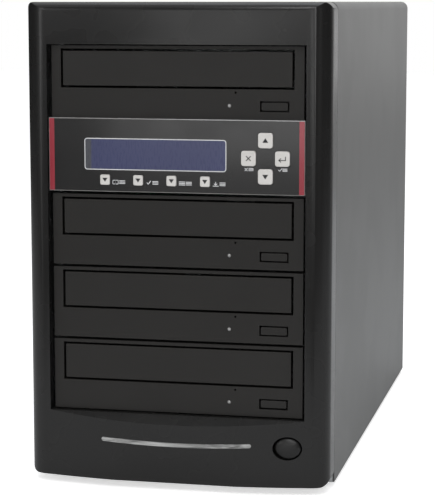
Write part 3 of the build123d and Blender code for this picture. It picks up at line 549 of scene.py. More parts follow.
@dataclass(frozen=True)
class PanelPlate:
    """Dark gloss plate with a red bar at each end."""

    name: str
    color: Color
    bar: Color
    bar_from: float

    def build(self, shelf: Shelf) -> bpy.types.Material:
        """Makes the material.

        Args:
            shelf: the shared groups.

        Returns:
            The material.
        """
        sheet = FinishSheet(self.name)
        place = sheet.place()
        across = sheet.math("ABSOLUTE", place.outputs["X"])
        in_bar = sheet.math("GREATER_THAN", across, self.bar_from * MM)
        tone = sheet.group(shelf.tone, Color=(*self.color, 1.0), Amount=0.08, Scale=24.0)
        bar = sheet.group(shelf.tone, Color=(*self.bar, 1.0), Amount=0.05, Scale=60.0)
        grain = sheet.group(shelf.grain, Scale=1 / (0.3 * MM), Patch=30.0)
        color = sheet.blend(in_bar, tone.outputs["Color"], bar.outputs["Color"])
        rough = sheet.ramp(grain.outputs["Mask"], 0.0, 1.0, 0.2, 0.26)
        sheet.feed(sheet.shader, Base_Color=color, Roughness=rough, Specular_IOR_Level=0.34,
                   Coat_Weight=0.15, Coat_Roughness=0.08)
        sheet.bump(grain.outputs["Height"], 0.0008 * MM)
        return sheet.material


@dataclass(frozen=True)
class DisplayFilm:
    """Unlit blue display behind a clear film, with a paler margin at its left end."""

    name: str
    blue: Color
    margin: Color
    margin_to: float

    def build(self, shelf: Shelf) -> bpy.types.Material:
        """Makes the material.

        Args:
            shelf: the shared groups.

        Returns:
            The material.
        """
        sheet = FinishSheet(self.name)
        place = sheet.place()
        in_film = sheet.ramp(place.outputs["X"], self.margin_to * MM, (self.margin_to + 1.2) * MM, 0.0, 1.0)
        blue = sheet.group(shelf.tone, Color=(*self.blue, 1.0), Amount=0.07, Scale=18.0)
        dots = sheet.noise(1500.0, 0.0, (1.0, 1.0, 0.15))
        rows = sheet.math("MULTIPLY", sheet.ramp(dots, 0.35, 0.7, 0.0, 1.0), 0.02)
        veined = sheet.blend(rows, blue.outputs["Color"], self.margin)
        color = sheet.blend(in_film, self.margin, veined)
        sheet.feed(sheet.shader, Base_Color=color, Roughness=sheet.ramp(dots, 0.3, 0.7, 0.27, 0.29),
                   Specular_IOR_Level=0.25, Coat_Weight=0.15, Coat_Roughness=0.15)
        return sheet.material


@dataclass(frozen=True)
class SilverPipe:
    """Frosted light pipe backed with silver film, streaked along its length."""

    name: str
    color: Color
    shade: Color
    metallic: float = 0.55
    roughness: float = 0.3

    def build(self, shelf: Shelf) -> bpy.types.Material:
        """Makes the material.

        Args:
            shelf: the shared groups.

        Returns:
            The material.
        """
        sheet = FinishSheet(self.name)
        streaks = sheet.group(shelf.streaks, Scale=2600.0)
        color = sheet.blend(streaks.outputs["Value"], self.shade, self.color)
        sheet.feed(sheet.shader, Base_Color=color, Metallic=self.metallic, Coat_Weight=0.6,
                   Coat_Roughness=0.06,
                   Roughness=sheet.ramp(streaks.outputs["Value"], 0.0, 1.0, self.roughness + 0.12,
                                        self.roughness))
        sheet.bump(streaks.outputs["Value"], 0.003 * MM)
        return sheet.material


@dataclass(frozen=True)
class CircuitGreen:
    """Solder mask over copper tracks."""

    name: str
    color: Color
    track: Color

    def build(self, shelf: Shelf) -> bpy.types.Material:
        """Makes the material.

        Args:
            shelf: the shared groups.

        Returns:
            The material.
        """
        sheet = FinishSheet(self.name)
        tracks = sheet.add("ShaderNodeTexBrick", offset=0.35, squash=0.6, squash_frequency=3)
        sheet.feed(tracks, Vector=sheet.object_space(), Scale=240.0, Mortar_Size=0.03,
                   Color1=(*self.color, 1.0), Color2=(*self.color, 1.0), Mortar=(*self.track, 1.0))
        tone = sheet.group(shelf.tone, Color=tracks.outputs["Color"], Amount=0.08)
        sheet.feed(sheet.shader, Base_Color=tone.outputs["Color"], Roughness=0.28, Coat_Weight=0.4)
        sheet.bump(tracks.outputs["Fac"], 0.02 * MM)
        return sheet.material


class Finishes:
    """Every finish of the tower, made once."""

    def __init__(self) -> None:
        """Builds the shared groups and the materials."""
        shelf = Shelf()

        def plastic(name: str, color: Color, **values: float) -> bpy.types.Material:
            """Moulded plastic with its own values."""
            return MouldedPlastic(name, color, **values).build(shelf)

        def metal(name: str, color: Color, **values: float) -> bpy.types.Material:
            """Plated metal with its own values."""
            return PlatedSteel(name, color, **values).build(shelf)

        black = (0.016, 0.0155, 0.015)
        satin = {"roughness": 0.46, "grain": 0.4, "specular": 0.27}
        printed = {"grain": 0.3, "depth": 0.001, "specular": 0.3, "wear": 0.0, "dust": 0.0}
        self.bezel = plastic("bezel_plastic", (0.0105, 0.0102, 0.01), roughness=0.27, depth=0.0016,
                             specular=0.3, tone=0.03)
        self.drive = plastic("drive_plastic", (0.0122, 0.0112, 0.0102), **satin)
        self.tray = plastic("tray_plastic", (0.0127, 0.0117, 0.0107), **satin)
        self.cover = PowderPaint("cover_paint", (0.055, 0.055, 0.0535)).build(shelf)
        self.rear = PowderPaint("rear_paint", (0.028, 0.028, 0.027), roughness=0.45).build(shelf)
        self.sheet = metal("steel_sheet", (0.56, 0.57, 0.58))
        self.screw = metal("screw_steel", (0.62, 0.62, 0.62), roughness=0.22, spangle=3.0, lines=0.1)
        self.wire = metal("wire", (0.66, 0.66, 0.67), roughness=0.16, spangle=14.0, lines=0.1)
        self.pin = metal("pin_metal", (0.72, 0.66, 0.5), roughness=0.24, spangle=4.0, lines=0.1)
        self.overlay = PanelPlate("overlay_plate", (0.011, 0.0106, 0.0106), (0.235, 0.023, 0.035),
                                  bar_from=72.1).build(shelf)
        # Pale grey on the overlay's chamfer and side faces is a painted highlight standing for the clear
        # cut edge catching light.
        self.cut_edge_highlight = plastic("cut_edge_highlight", (0.24, 0.235, 0.23), roughness=0.16, grain=0.6, depth=0.002,
                                specular=0.6, coat=0.5, tone=0.1, wear=0.0, dust=0.0)
        self.key = plastic("key_plastic", (0.52, 0.505, 0.485), roughness=0.42, grain=0.3, depth=0.003,
                           tone=0.03, wear=0.05, dust=0.0)
        self.ink = plastic("key_ink", (0.016, 0.016, 0.018), roughness=0.5, tone=0.05, **printed)
        self.print = plastic("panel_print", (0.64, 0.64, 0.65), roughness=0.45, tone=0.08, **printed)
        self.display = DisplayFilm("display", (0.038, 0.043, 0.102), (0.055, 0.057, 0.066),
                                   margin_to=-50.6).build(shelf)
        self.housing = plastic("housing_plastic", black, roughness=0.55, grain=0.6, depth=0.005)
        self.loader = plastic("loader_plastic", (0.035, 0.035, 0.037), roughness=0.5, grain=0.6,
                              depth=0.005)
        self.platter = plastic("platter", (0.03, 0.03, 0.031), roughness=0.3, grain=0.8, depth=0.003,
                               specular=0.5, coat=0.3)
        self.sled = metal("sled_metal", (0.5, 0.5, 0.51), roughness=0.45, spangle=2.0, lines=0.4)
        self.button = plastic("button_plastic", (0.006, 0.0058, 0.0056), roughness=0.36, depth=0.001,
                              specular=0.35, tone=0.04, wear=0.0, dust=0.0)
        self.strip = SilverPipe("strip_clear", (0.46, 0.46, 0.45), (0.1, 0.1, 0.098)).build(shelf)
        self.lamp = SilverPipe("lamp_clear", (0.33, 0.33, 0.325), (0.21, 0.21, 0.205),
                               metallic=0.1).build(shelf)
        self.fan = plastic("fan_plastic", (0.018, 0.018, 0.018), roughness=0.4, grain=0.8, depth=0.003,
                           specular=0.45)
        self.inlet = plastic("inlet_plastic", black, roughness=0.38, grain=0.6, depth=0.003,
                             specular=0.45)
        self.rocker = plastic("rocker_plastic", (0.014, 0.014, 0.014), roughness=0.25, grain=0.8,
                              depth=0.002, specular=0.5, coat=0.2)
        self.rubber = plastic("rubber_pad", (0.02, 0.02, 0.02), roughness=0.75, grain=0.8, depth=0.01,
                              specular=0.3)
        self.board = CircuitGreen("board", (0.012, 0.09, 0.035), (0.03, 0.16, 0.06)).build(shelf)
        self.chip = plastic("chip_black", (0.02, 0.02, 0.021), roughness=0.5, grain=0.3, depth=0.003)
        self.socket = plastic("socket_white", (0.55, 0.53, 0.48), depth=0.002)


# ---------------------------------------------------------------- mesh tools
def place_object(name: str, data: bpy.types.ID) -> bpy.types.Object:
    """Adds an object to the scene.

    Args:
        name: its name.
        data: its mesh, light or camera.

    Returns:
        The object.
    """
    item = bpy.data.objects.new(name, data)
    bpy.context.scene.collection.objects.link(item)
    return item


def mesh_object(mesh: Mesh, name: str) -> bpy.types.Object:
    """Turns a mesh, which is used up, into an object.

    Args:
        mesh: the mesh.
        name: the object's name.

    Returns:
        The object.
    """
    data = bpy.data.meshes.new(name)
    mesh.to_mesh(data)
    mesh.free()
    return place_object(name, data)


def corners(node: str) -> tuple[Vector, Vector]:
    """Lowest and highest corner of a CAD node's box.

    Args:
        node: the node's name.

    Returns:
        The two corners.
    """
    low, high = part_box(node)
    return Vector(low), Vector(high)


def block(mesh: Mesh, low: Sequence[float], high: Sequence[float]) -> None:
    """Adds a box between two corners.

    Args:
        mesh: the mesh to add to.
        low: lowest corner.
        high: highest corner.
    """
    low_corner, high_corner = Vector(low), Vector(high)
    matrix = Matrix.Translation((low_corner + high_corner) / 2) @ Matrix.Diagonal(
        (*(high_corner - low_corner), 1.0))
    bmesh.ops.create_cube(mesh, size=1.0, matrix=matrix)


def drum(mesh: Mesh, start: Sequence[float], length: float, radius: float, steps: int = 32) -> None:
    """Adds a closed drum that runs towards the rear.

    Args:
        mesh: the mesh to add to.
        start: middle of its front end.
        length: its length.
        radius: its radius.
        steps: sides.
    """
    matrix = Matrix.Translation(start) @ Matrix.Rotation(-pi / 2, 4, "X") @ (
        Matrix.Translation((0, 0, length / 2)))
    bmesh.ops.create_cone(mesh, cap_ends=True, segments=steps, radius1=radius, radius2=radius,
                          depth=length, matrix=matrix)


def lathe(
    mesh: Mesh, profile: Iterable[tuple[float, float]], middle: Sequence[float],
    axis: Axis = Axis.Y, steps: int = 48,
) -> None:
    """Spins a profile into a round solid.

    Args:
        mesh: the mesh to add to.
        profile: pairs of radius and distance along the axis.
        middle: the point that distances start from.
        axis: the axis it turns about.
        steps: steps in the full turn.
    """
    across = Vector((Axis.Z if axis is Axis.Y else Axis.X).value)
    along, centre = Vector(axis.value), Vector(middle)
    verts = [mesh.verts.new(centre + across * radius + along * distance) for radius, distance in profile]
    edges = [mesh.edges.new(pair) for pair in zip(verts, verts[1:])]
    bmesh.ops.spin(mesh, geom=verts + edges, cent=centre, axis=along, angle=2 * pi, steps=steps,
                   use_merge=True, use_duplicate=False)


def rounded_plate(
    mesh: Mesh, middle: tuple[float, float], size: tuple[float, float], corner: float,
    front: float, back: float, steps: int = 5,
) -> bmesh.types.BMFace:
    """Adds a plate that faces the front, with round corners.

    Args:
        mesh: the mesh to add to.
        middle: X and Z of its middle.
        size: width and height.
        corner: radius of its corners.
        front: Y of its front.
        back: Y of its back.
        steps: segments in a corner.

    Returns:
        The front face.
    """
    centre = Vector((middle[0], front, middle[1]))
    matrix = Matrix.Translation(centre) @ Matrix.Rotation(pi / 2, 4, "X") @ (
        Matrix.Diagonal((size[0], size[1], 1.0, 1.0)))
    verts = bmesh.ops.create_grid(mesh, x_segments=1, y_segments=1, size=0.5, matrix=matrix)["verts"]
    bmesh.ops.bevel(mesh, geom=verts, offset=corner, segments=steps, profile=0.5, affect="VERTICES",
                    material=-1)
    face = max((f for f in mesh.faces if (f.calc_center_median() - centre).length < NEAR),
               key=lambda f: f.calc_area())
    made = bmesh.ops.extrude_face_region(mesh, geom=[face], use_keep_orig=True)["geom"]
    moved = [item for item in made if isinstance(item, bmesh.types.BMVert)]
    bmesh.ops.translate(mesh, vec=(0, back - front, 0), verts=moved)
    return face


def soften(mesh: Mesh, angle: float) -> None:
    """Shades smooth, with edges above an angle kept crisp.

    Args:
        mesh: the mesh to shade.
        angle: the least angle of a crisp edge, in degrees.
    """
    for face in mesh.faces:
        face.smooth = True
    for edge in mesh.edges:
        edge.smooth = len(edge.link_faces) == 2 and edge.calc_face_angle(0.0) < radians(angle)


class Workshop:
    """Turns meshes into finished pieces on their bodies."""

    def __init__(self, frame: dict[str, Any]) -> None:
        """Reads which body each node rides on.
        """
        self.nodes = frame["nodes"]
        record = frame["record"]
        self.body_of = {
            node: body for body, names in record["behaviour"]["bodies"].items() for node in names}
        self.slot_of = {part["node"]: part["material_slot"] for part in record["subparts"]}
        self.count = 0

    def copy(self, node: str) -> Mesh:
        """A merged working copy of a CAD node's mesh, with its flat faces joined.

        Args:
            node: the node's name.

        Returns:
            The copy.
        """
        mesh = bmesh.new()
        mesh.from_mesh(self.nodes[node].data)
        bmesh.ops.remove_doubles(mesh, verts=mesh.verts, dist=MERGE)
        bmesh.ops.dissolve_degenerate(mesh, dist=WELD, edges=mesh.edges)
        bmesh.ops.dissolve_limit(mesh, angle_limit=radians(FLAT_ANGLE), use_dissolve_boundaries=False,
                                 verts=mesh.verts, edges=mesh.edges)
        return mesh

    def piece(
        self, mesh: Mesh, name: str, materials: Sequence[bpy.types.Material], body: str, slot: str,
        replaces: Sequence[str] = (), edge: float = 0.0, edge_angle: float = 32.0,
        own_normals: bool = False,
    ) -> None:
        """Finishes a mesh as a piece of the tower.

        Args:
            mesh: the shape, which is used up.
            name: the piece's name.
            materials: its finishes, in the order of its faces' indices.
            body: the body it rides on.
            slot: the record's material slot; not used.
            replaces: CAD nodes that it stands for.
            edge: width of its rounded edges in metres.
            edge_angle: the least angle of an edge that is rounded, in degrees.
            own_normals: True keeps the faces' directions as they are.
        """
        if not own_normals:
            bmesh.ops.remove_doubles(mesh, verts=mesh.verts, dist=WELD)
            bmesh.ops.recalc_face_normals(mesh, faces=mesh.faces)
        soften(mesh, edge_angle)
        item = mesh_object(mesh, name)
        for material in materials:
            item.data.materials.append(material)
        if edge > 0:
            rounding = item.modifiers.new("edge_round", "BEVEL")
            rounding.width = edge
            rounding.segments = EDGE_STEPS
            rounding.limit_method = "ANGLE"
            rounding.angle_limit = radians(edge_angle)
            rounding.use_clamp_overlap = True
            rounding.harden_normals = True
        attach(item, body)
        if replaces:
            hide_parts(*replaces)
        self.count += 1
        LOG.info("piece %s on %s: %d vertices", name, body, len(item.data.vertices))

    def dress_copy(
        self, node: str, materials: Sequence[bpy.types.Material], edge: float = 0.0,
        region: Region | None = None,
    ) -> None:
        """Replaces a node by its own shape with rounded edges and finishes.

        Args:
            node: the node's name.
            materials: its finishes.
            edge: width of its rounded edges in metres.
            region: gives a face's finish index from its middle.
        """
        mesh = self.copy(node)
        if region is not None:
            for face in mesh.faces:
                face.material_index = region(face.calc_center_median())
        self.piece(mesh, f"{node}_dressed", materials, self.body_of[node], self.slot_of[node],
                   (node,), edge, own_normals=True)

    def paint(self, node: str, material: bpy.types.Material) -> None:
        """Gives a CAD node that stays as it is its finish.

        Args:
            node: the node's name.
            material: the finish.
        """
        item = self.nodes[node]
        if not item.material_slots:
            item.data.materials.append(material)
        for place in item.material_slots:
            place.material = material
        LOG.info("node %s: %s", node, material.name)


# ---------------------------------------------------------------- sub-assemblies
@dataclass
class Assembly:
    """A group of pieces, with the workshop and the finishes that make them."""

    shop: Workshop
    finishes: Finishes

    def make(self) -> None:
        """Makes every piece of the group."""
        raise NotImplementedError


@dataclass
class BezelMoulding(Assembly):
    """Front bezel, light strip, power button and its switch."""

    crease_across: float = 76.1 * MM
    pillar_lean: float = 0.15
    seam_zone: float = 8.0 * MM
    dome_rings: int = 7
    dome_height: float = 2.3 * MM
    button_thickness: float = 6.0 * MM
    stem_radius: float = 2.5 * MM
    stem_overlap: float = 1.5 * MM

    def make(self) -> None:
        """Makes every piece of the bezel."""
        self.make_bezel()
        self.shop.dress_copy("light_strip", [self.finishes.strip], edge=0.25 * MM)
        self.make_button()
        self.shop.paint("power_switch", self.finishes.housing)

    def make_bezel(self) -> None:
        """Bezel whose pillars lean away from a crease beside the bays."""
        mesh = self.shop.copy("front_bezel")
        high = corners("front_bezel")[1]
        for side in (-1, 1):
            geometry = mesh.verts[:] + mesh.edges[:] + mesh.faces[:]
            bmesh.ops.bisect_plane(mesh, geom=geometry, plane_co=(side * self.crease_across, 0, 0),
                                   plane_no=(side, 0, 0), dist=WELD)
        span = high.x - self.crease_across
        for vert in mesh.verts:
            out = abs(vert.co.x) - self.crease_across
            if out > 0 and vert.co.y < high.y - self.seam_zone:
                vert.co.y += self.pillar_lean * out * max(0.0, 1 - out / span)
        self.shop.piece(mesh, "front_bezel_moulding", [self.finishes.bezel], "case", "bezel_plastic",
                        ("front_bezel",), edge=0.35 * MM, edge_angle=24.0, own_normals=True)

    def make_button(self) -> None:
        """Oval button with a round brow and a polished dome, on its stem."""
        low, high = corners("power_button")
        middle, half = (low + high) / 2, (high - low) / 2
        back = low.y + self.button_thickness
        mesh = bmesh.new()
        matrix = Matrix.Translation((middle.x, back, middle.z)) @ Matrix.Rotation(pi / 2, 4, "X") @ (
            Matrix.Diagonal((half.x, half.z, 1.0, 1.0)))
        bmesh.ops.create_circle(mesh, cap_ends=True, radius=1.0, segments=64, matrix=matrix)
        face = mesh.faces[:][0]
        for ring in range(self.dome_rings + 1):
            face = bmesh.ops.extrude_discrete_faces(mesh, faces=[face])["faces"][0]
            before, after = self.ring_angle(max(0, ring - 1)), self.ring_angle(ring)
            for vert in face.verts:
                vert.co.x = middle.x + (vert.co.x - middle.x) / cos(before) * cos(after)
                vert.co.z = middle.z + (vert.co.z - middle.z) / cos(before) * cos(after)
                vert.co.y = low.y + self.dome_height * (1 - sin(after))
        start = back - self.stem_overlap
        drum(mesh, (middle.x, start, middle.z), high.y - start, self.stem_radius)
        self.shop.piece(mesh, "power_button_cap", [self.finishes.button], "power_button",
                        "button_plastic", ("power_button",), edge_angle=50.0)

    def ring_angle(self, ring: int) -> float:
        """How far round the dome a ring lies, in radians."""
        return pi / 2 * ring / (self.dome_rings + 1)


@dataclass
class SteelCase(Assembly):
    """Cover, inner frame, base pan and feet."""

    foot_radius: float = 9.0 * MM
    foot_brow: float = 0.8 * MM
    foot_dish: float = 0.5 * MM
    dish_shares: Pair = (0.45, 0.35)

    def make(self) -> None:
        """Makes every piece of the case."""
        self.shop.dress_copy("outer_cover", [self.finishes.cover], edge=0.3 * MM)
        for node in ("base_pan", "front_plate", "drive_cage"):
            self.shop.paint(node, self.finishes.sheet)
        self.shop.paint("bay_screws", self.finishes.screw)
        self.make_feet()

    def make_feet(self) -> None:
        """Four turned rubber feet with a dished sole."""
        low, high = corners("feet")
        radius, brow, tall = self.foot_radius, self.foot_brow, high.z - low.z
        mesh = bmesh.new()
        rim, floor = (radius * share for share in self.dish_shares)
        profile = [(0.0, tall), (radius, tall), (radius, brow),
                   (radius - brow * ROUNDING, brow * ROUNDING), (radius - brow, 0.0), (rim, 0.0),
                   (floor, self.foot_dish), (0.0, self.foot_dish)]
        for x in (low.x + radius, high.x - radius):
            for y in (low.y + radius, high.y - radius):
                lathe(mesh, profile, (x, y, low.z), Axis.Z)
        self.shop.piece(mesh, "rubber_feet", [self.finishes.rubber], "case", "rubber_pad", ("feet",))


@dataclass
class DiscDrive(Assembly):
    """One drive: its bezel, tray, eject button and works."""

    number: int

    def make(self) -> None:
        """Makes every piece of the drive."""
        name = f"drive_{self.number}"
        for part, finish, edge in (
            ("bezel", self.finishes.drive, 0.22), ("tray", self.finishes.tray, 0.3),
            ("eject_button", self.finishes.drive, 0.3), ("loader", self.finishes.loader, 0.0),
            ("turntable", self.finishes.platter, 0.25), ("laser_sled", self.finishes.sled, 0.25),
        ):
            self.shop.dress_copy(f"{name}_{part}", [finish], edge * MM)
        self.shop.paint(f"{name}_shell", self.finishes.sheet)


@dataclass(frozen=True)
class CapPlan:
    """Sizes of a key cap: its round corners, the rim of its dish and its sign."""

    corner: float
    dish: float
    sign: float


@dataclass
class ControlPanel(Assembly):
    """Overlay plate, display, keys, their signs and what is behind them.

    Each label is the shift of its two signs from the key, each with its height.
    """

    chamfer: float = 0.4 * MM
    line: float = 0.45 * MM
    window_middle: Pair = (-12.0 * MM, 196.3 * MM)
    window_size: Pair = (83.0 * MM, 17.4 * MM)
    window_round: float = 1.2 * MM
    film: float = 0.03 * MM
    glass_depth: float = 4.9 * MM
    large_key_from: float = 7.0 * MM
    large_cap: CapPlan = CapPlan(corner=1.6 * MM, dish=0.9 * MM, sign=3.3 * MM)
    small_cap: CapPlan = CapPlan(corner=1.0 * MM, dish=0.54 * MM, sign=2.9 * MM)
    key_thickness: float = 2.5 * MM
    key_crown: float = 0.35 * MM
    key_sink: float = 0.07 * MM
    ink_depth: float = 0.04 * MM
    stem_radius: float = 1.5 * MM
    menu_label_drop: float = 1.3 * MM
    menu_label: tuple[Pair, Pair] = ((3.4 * MM, 2.5 * MM), (7.4 * MM, 2.3 * MM))
    side_label_drop: float = 1.9 * MM
    side_label: tuple[Pair, Pair] = ((-1.3 * MM, 2.1 * MM), (1.5 * MM, 1.9 * MM))
    board_top: float = 180.9 * MM
    board_bare_front: float = 6.0 * MM
    socket_zone: float = 18.0 * MM
    chip_height: float = 2.6 * MM
    triangle_radius: float = 0.56
    triangle_drop: float = 0.1
    triangle_stretch: Pair = (1.05, 0.95)
    line_share: float = 0.16

    def make(self) -> None:
        """Makes every piece of the panel."""
        self.make_overlay()
        self.make_display()
        signs = {"up_key": Mark.UP, "down_key": Mark.DOWN, "escape_key": Mark.CANCEL,
                 "enter_key": Mark.CONFIRM}
        signs.update({f"menu_key_{index}": Mark.DOWN for index in range(1, 5)})
        for node, sign in signs.items():
            self.make_key(node, sign)
        self.make_labels()
        self.shop.paint("panel_housing", self.finishes.housing)
        self.make_board()

    def make_overlay(self) -> None:
        """Gloss plate with a polished chamfer round its front, painted pale as a highlight on the cut edge.
        """
        low, high = corners("panel_overlay")
        mesh = self.shop.copy("panel_overlay")

        def outer(point: Vector) -> bool:
            """True on the plate's outline."""
            return min(abs(point.x - low.x), abs(point.x - high.x), abs(point.z - low.z),
                       abs(point.z - high.z)) < NEAR

        rim = [edge for edge in mesh.edges
               if all(abs(v.co.y - low.y) < NEAR and outer(v.co) for v in edge.verts)
               and outer((edge.verts[0].co + edge.verts[1].co) / 2)]
        # The plate's side faces and the chamfer take the pale finish, a painted highlight on the clear cut
        # edge.
        for face in mesh.faces:
            if outer(face.calc_center_median()) and abs(face.normal.y) < 0.5:
                face.material_index = 1
        made = bmesh.ops.bevel(mesh, geom=rim, offset=self.chamfer, offset_type="OFFSET", segments=1,
                               profile=0.5, affect="EDGES", material=-1, clamp_overlap=False)
        for face in made["faces"]:
            face.material_index = 1
        self.shop.piece(mesh, "panel_overlay_plate", [self.finishes.overlay, self.finishes.cut_edge_highlight],
                        "case", "overlay_plate", ("panel_overlay",), own_normals=True)

    def make_display(self) -> None:
        """Display module, and the printed line round its window."""
        glass_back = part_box("panel_housing")[0][1] + self.glass_depth
        self.shop.dress_copy("lcd_module", [self.finishes.display, self.finishes.sheet],
                             region=lambda middle: 0 if middle.y < glass_back else 1)
        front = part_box("panel_overlay")[0][1]
        width, height = self.window_size
        mesh = bmesh.new()
        face = rounded_plate(mesh, self.window_middle, (width + 2 * self.line, height + 2 * self.line),
                             self.window_round + self.line, front - self.film, front + self.film)
        bmesh.ops.inset_region(mesh, faces=[face], thickness=self.line, use_even_offset=True)
        panes = [f for f in mesh.faces if f.calc_area() > width * height / 2]
        bmesh.ops.delete(mesh, geom=panes, context="FACES")
        self.shop.piece(mesh, "window_line", [self.finishes.print], "case", "overlay_plate")

    def make_key(self, node: str, sign: Mark) -> None:
        """Key cap with round edges, a shallow dish, its stem and its sign.

        Args:
            node: the key's CAD node.
            sign: what is printed on it.
        """
        low, high = corners(node)
        width, height = high.x - low.x, high.z - low.z
        middle = ((low.x + high.x) / 2, (low.z + high.z) / 2)
        plan = self.large_cap if width > self.large_key_from else self.small_cap
        back = low.y + self.key_thickness
        mesh = bmesh.new()
        face = rounded_plate(mesh, middle, (width, height), plan.corner, low.y, back, 6)
        bmesh.ops.recalc_face_normals(mesh, faces=mesh.faces)
        bmesh.ops.bevel(mesh, geom=list(face.edges), offset=self.key_crown, offset_type="OFFSET",
                        segments=3, profile=0.5, affect="EDGES", material=-1)
        top = max((f for f in mesh.faces if abs(f.calc_center_median().y - low.y) < MERGE),
                  key=lambda f: f.calc_area())
        for share, depth in ((0.5, 0.0), (0.4, -self.key_sink)):
            bmesh.ops.inset_region(mesh, faces=[top], thickness=plan.dish * share, depth=depth,
                                   use_even_offset=True)
        drum(mesh, (middle[0], back, middle[1]), high.y - back, self.stem_radius, 20)
        body = self.shop.body_of[node]
        self.shop.piece(mesh, f"{node}_cap", [self.finishes.key], body, "key_plastic", (node,),
                        edge_angle=40.0)
        signs = bmesh.new()
        self.draw(signs, sign, middle, plan.sign, low.y + self.ink_depth)
        self.shop.piece(signs, f"{node}_sign", [self.finishes.ink], body, "key_plastic")

    def make_labels(self) -> None:
        """Plain signs beside the menu keys and under the side keys."""
        mesh = bmesh.new()
        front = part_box("panel_overlay")[0][1] - self.film
        for index, sign in enumerate((Mark.PAIR, Mark.TICK, Mark.LINES, Mark.SOURCE), start=1):
            low, high = corners(f"menu_key_{index}")
            level = (low.z + high.z) / 2 - self.menu_label_drop
            for mark, (shift, size) in zip((sign, Mark.LINES), self.menu_label):
                self.draw(mesh, mark, (high.x + shift, level), size, front)
        for node, sign in (("escape_key", Mark.CANCEL), ("enter_key", Mark.TICK)):
            low, high = corners(node)
            across, level = (low.x + high.x) / 2, low.z - self.side_label_drop
            for mark, (shift, size) in zip((sign, Mark.LINES), self.side_label):
                self.draw(mesh, mark, (across + shift, level), size, front)
        self.shop.piece(mesh, "panel_signs", [self.finishes.print], "case", "overlay_plate")

    def draw(self, mesh: Mesh, sign: Mark, middle: Pair, size: float, front: float) -> None:
        """Adds a printed sign that faces the front.

        Args:
            mesh: the mesh to add to.
            sign: which sign.
            middle: X and Z of its middle.
            size: its height.
            front: Y of its face.
        """
        x, z = middle
        thick = 2 * self.film
        back, line = front + thick, size * self.line_share
        if sign in (Mark.UP, Mark.DOWN):
            turn = 1.0 if sign is Mark.UP else -1.0
            matrix = Matrix.Translation((x, back, z - self.triangle_drop * turn * size)) @ (
                Matrix.Rotation(pi / 2, 4, "X") @ Matrix.Rotation(0.0 if turn > 0 else pi, 4, "Z")
                @ Matrix.Translation((0, 0, thick)) @ Matrix.Diagonal((*self.triangle_stretch, 1.0, 1.0)))
            made = bmesh.ops.create_circle(mesh, cap_ends=True, radius=size * self.triangle_radius,
                                           segments=3, matrix=matrix)["verts"]
            bmesh.ops.extrude_face_region(mesh, geom=list(made[0].link_faces), use_keep_orig=True)
            bmesh.ops.translate(mesh, vec=(0, thick, 0), verts=made)
        for x0, x1, z0, z1 in BARS.get(sign, ()):
            block(mesh, (x + x0 * size, front, z + z0 * size), (x + x1 * size, back, z + z1 * size))
        for x0, z0, x1, z1 in STROKES.get(sign, ()):
            along = Vector(((x1 - x0) * size, 0, (z1 - z0) * size))
            centre = (x + (x0 + x1) / 2 * size, (front + back) / 2, z + (z0 + z1) / 2 * size)
            matrix = Matrix.Translation(centre) @ (
                Vector(Axis.X.value).rotation_difference(along).to_matrix().to_4x4()
                @ Matrix.Diagonal((along.length + line, thick, line, 1.0)))
            bmesh.ops.create_cube(mesh, size=1.0, matrix=matrix)

    def make_board(self) -> None:
        """Circuit board with black chips, white sockets and plated cans."""
        low, high = corners("controller_board")

        def region(middle: Vector) -> int:
            """Sockets at the rear edge, chips and cans in the middle, board elsewhere."""
            if middle.z <= self.board_top + 0.1 * MM or middle.y < low.y + self.board_bare_front:
                return 0
            if middle.y > high.y - self.socket_zone:
                return 2
            return 1 if middle.z < self.board_top + self.chip_height else 3

        looks = self.finishes
        self.shop.dress_copy("controller_board", [looks.board, looks.chip, looks.socket, looks.sled],
                             region=region)


@dataclass
class FrontLamps(Assembly):
    """The lamp pipes of the four drives."""

    radius: float = 1.14 * MM
    across: float = 31.0 * MM
    rise: float = 7.7 * MM
    dome: tuple[Pair, ...] = ((0.0, 0.0), (0.5, 0.08), (0.85, 0.3), (1.0, 0.6))

    def make(self) -> None:
        """Domed pipes, one in each drive's bezel."""
        low, high = corners("drive_lights")
        length = high.y - low.y
        profile = [(share * self.radius, back * MM) for share, back in self.dome]
        profile += [(self.radius, length), (0.0, length)]
        mesh = bmesh.new()
        for number in range(1, 5):
            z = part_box(f"drive_{number}_bezel")[0][2] + self.rise
            lathe(mesh, profile, (self.across, low.y, z), Axis.Y, 32)
        self.shop.piece(mesh, "drive_lamp_pipes", [self.finishes.lamp], "case", "lamp_clear",
                        ("drive_lights",), edge_angle=50.0)


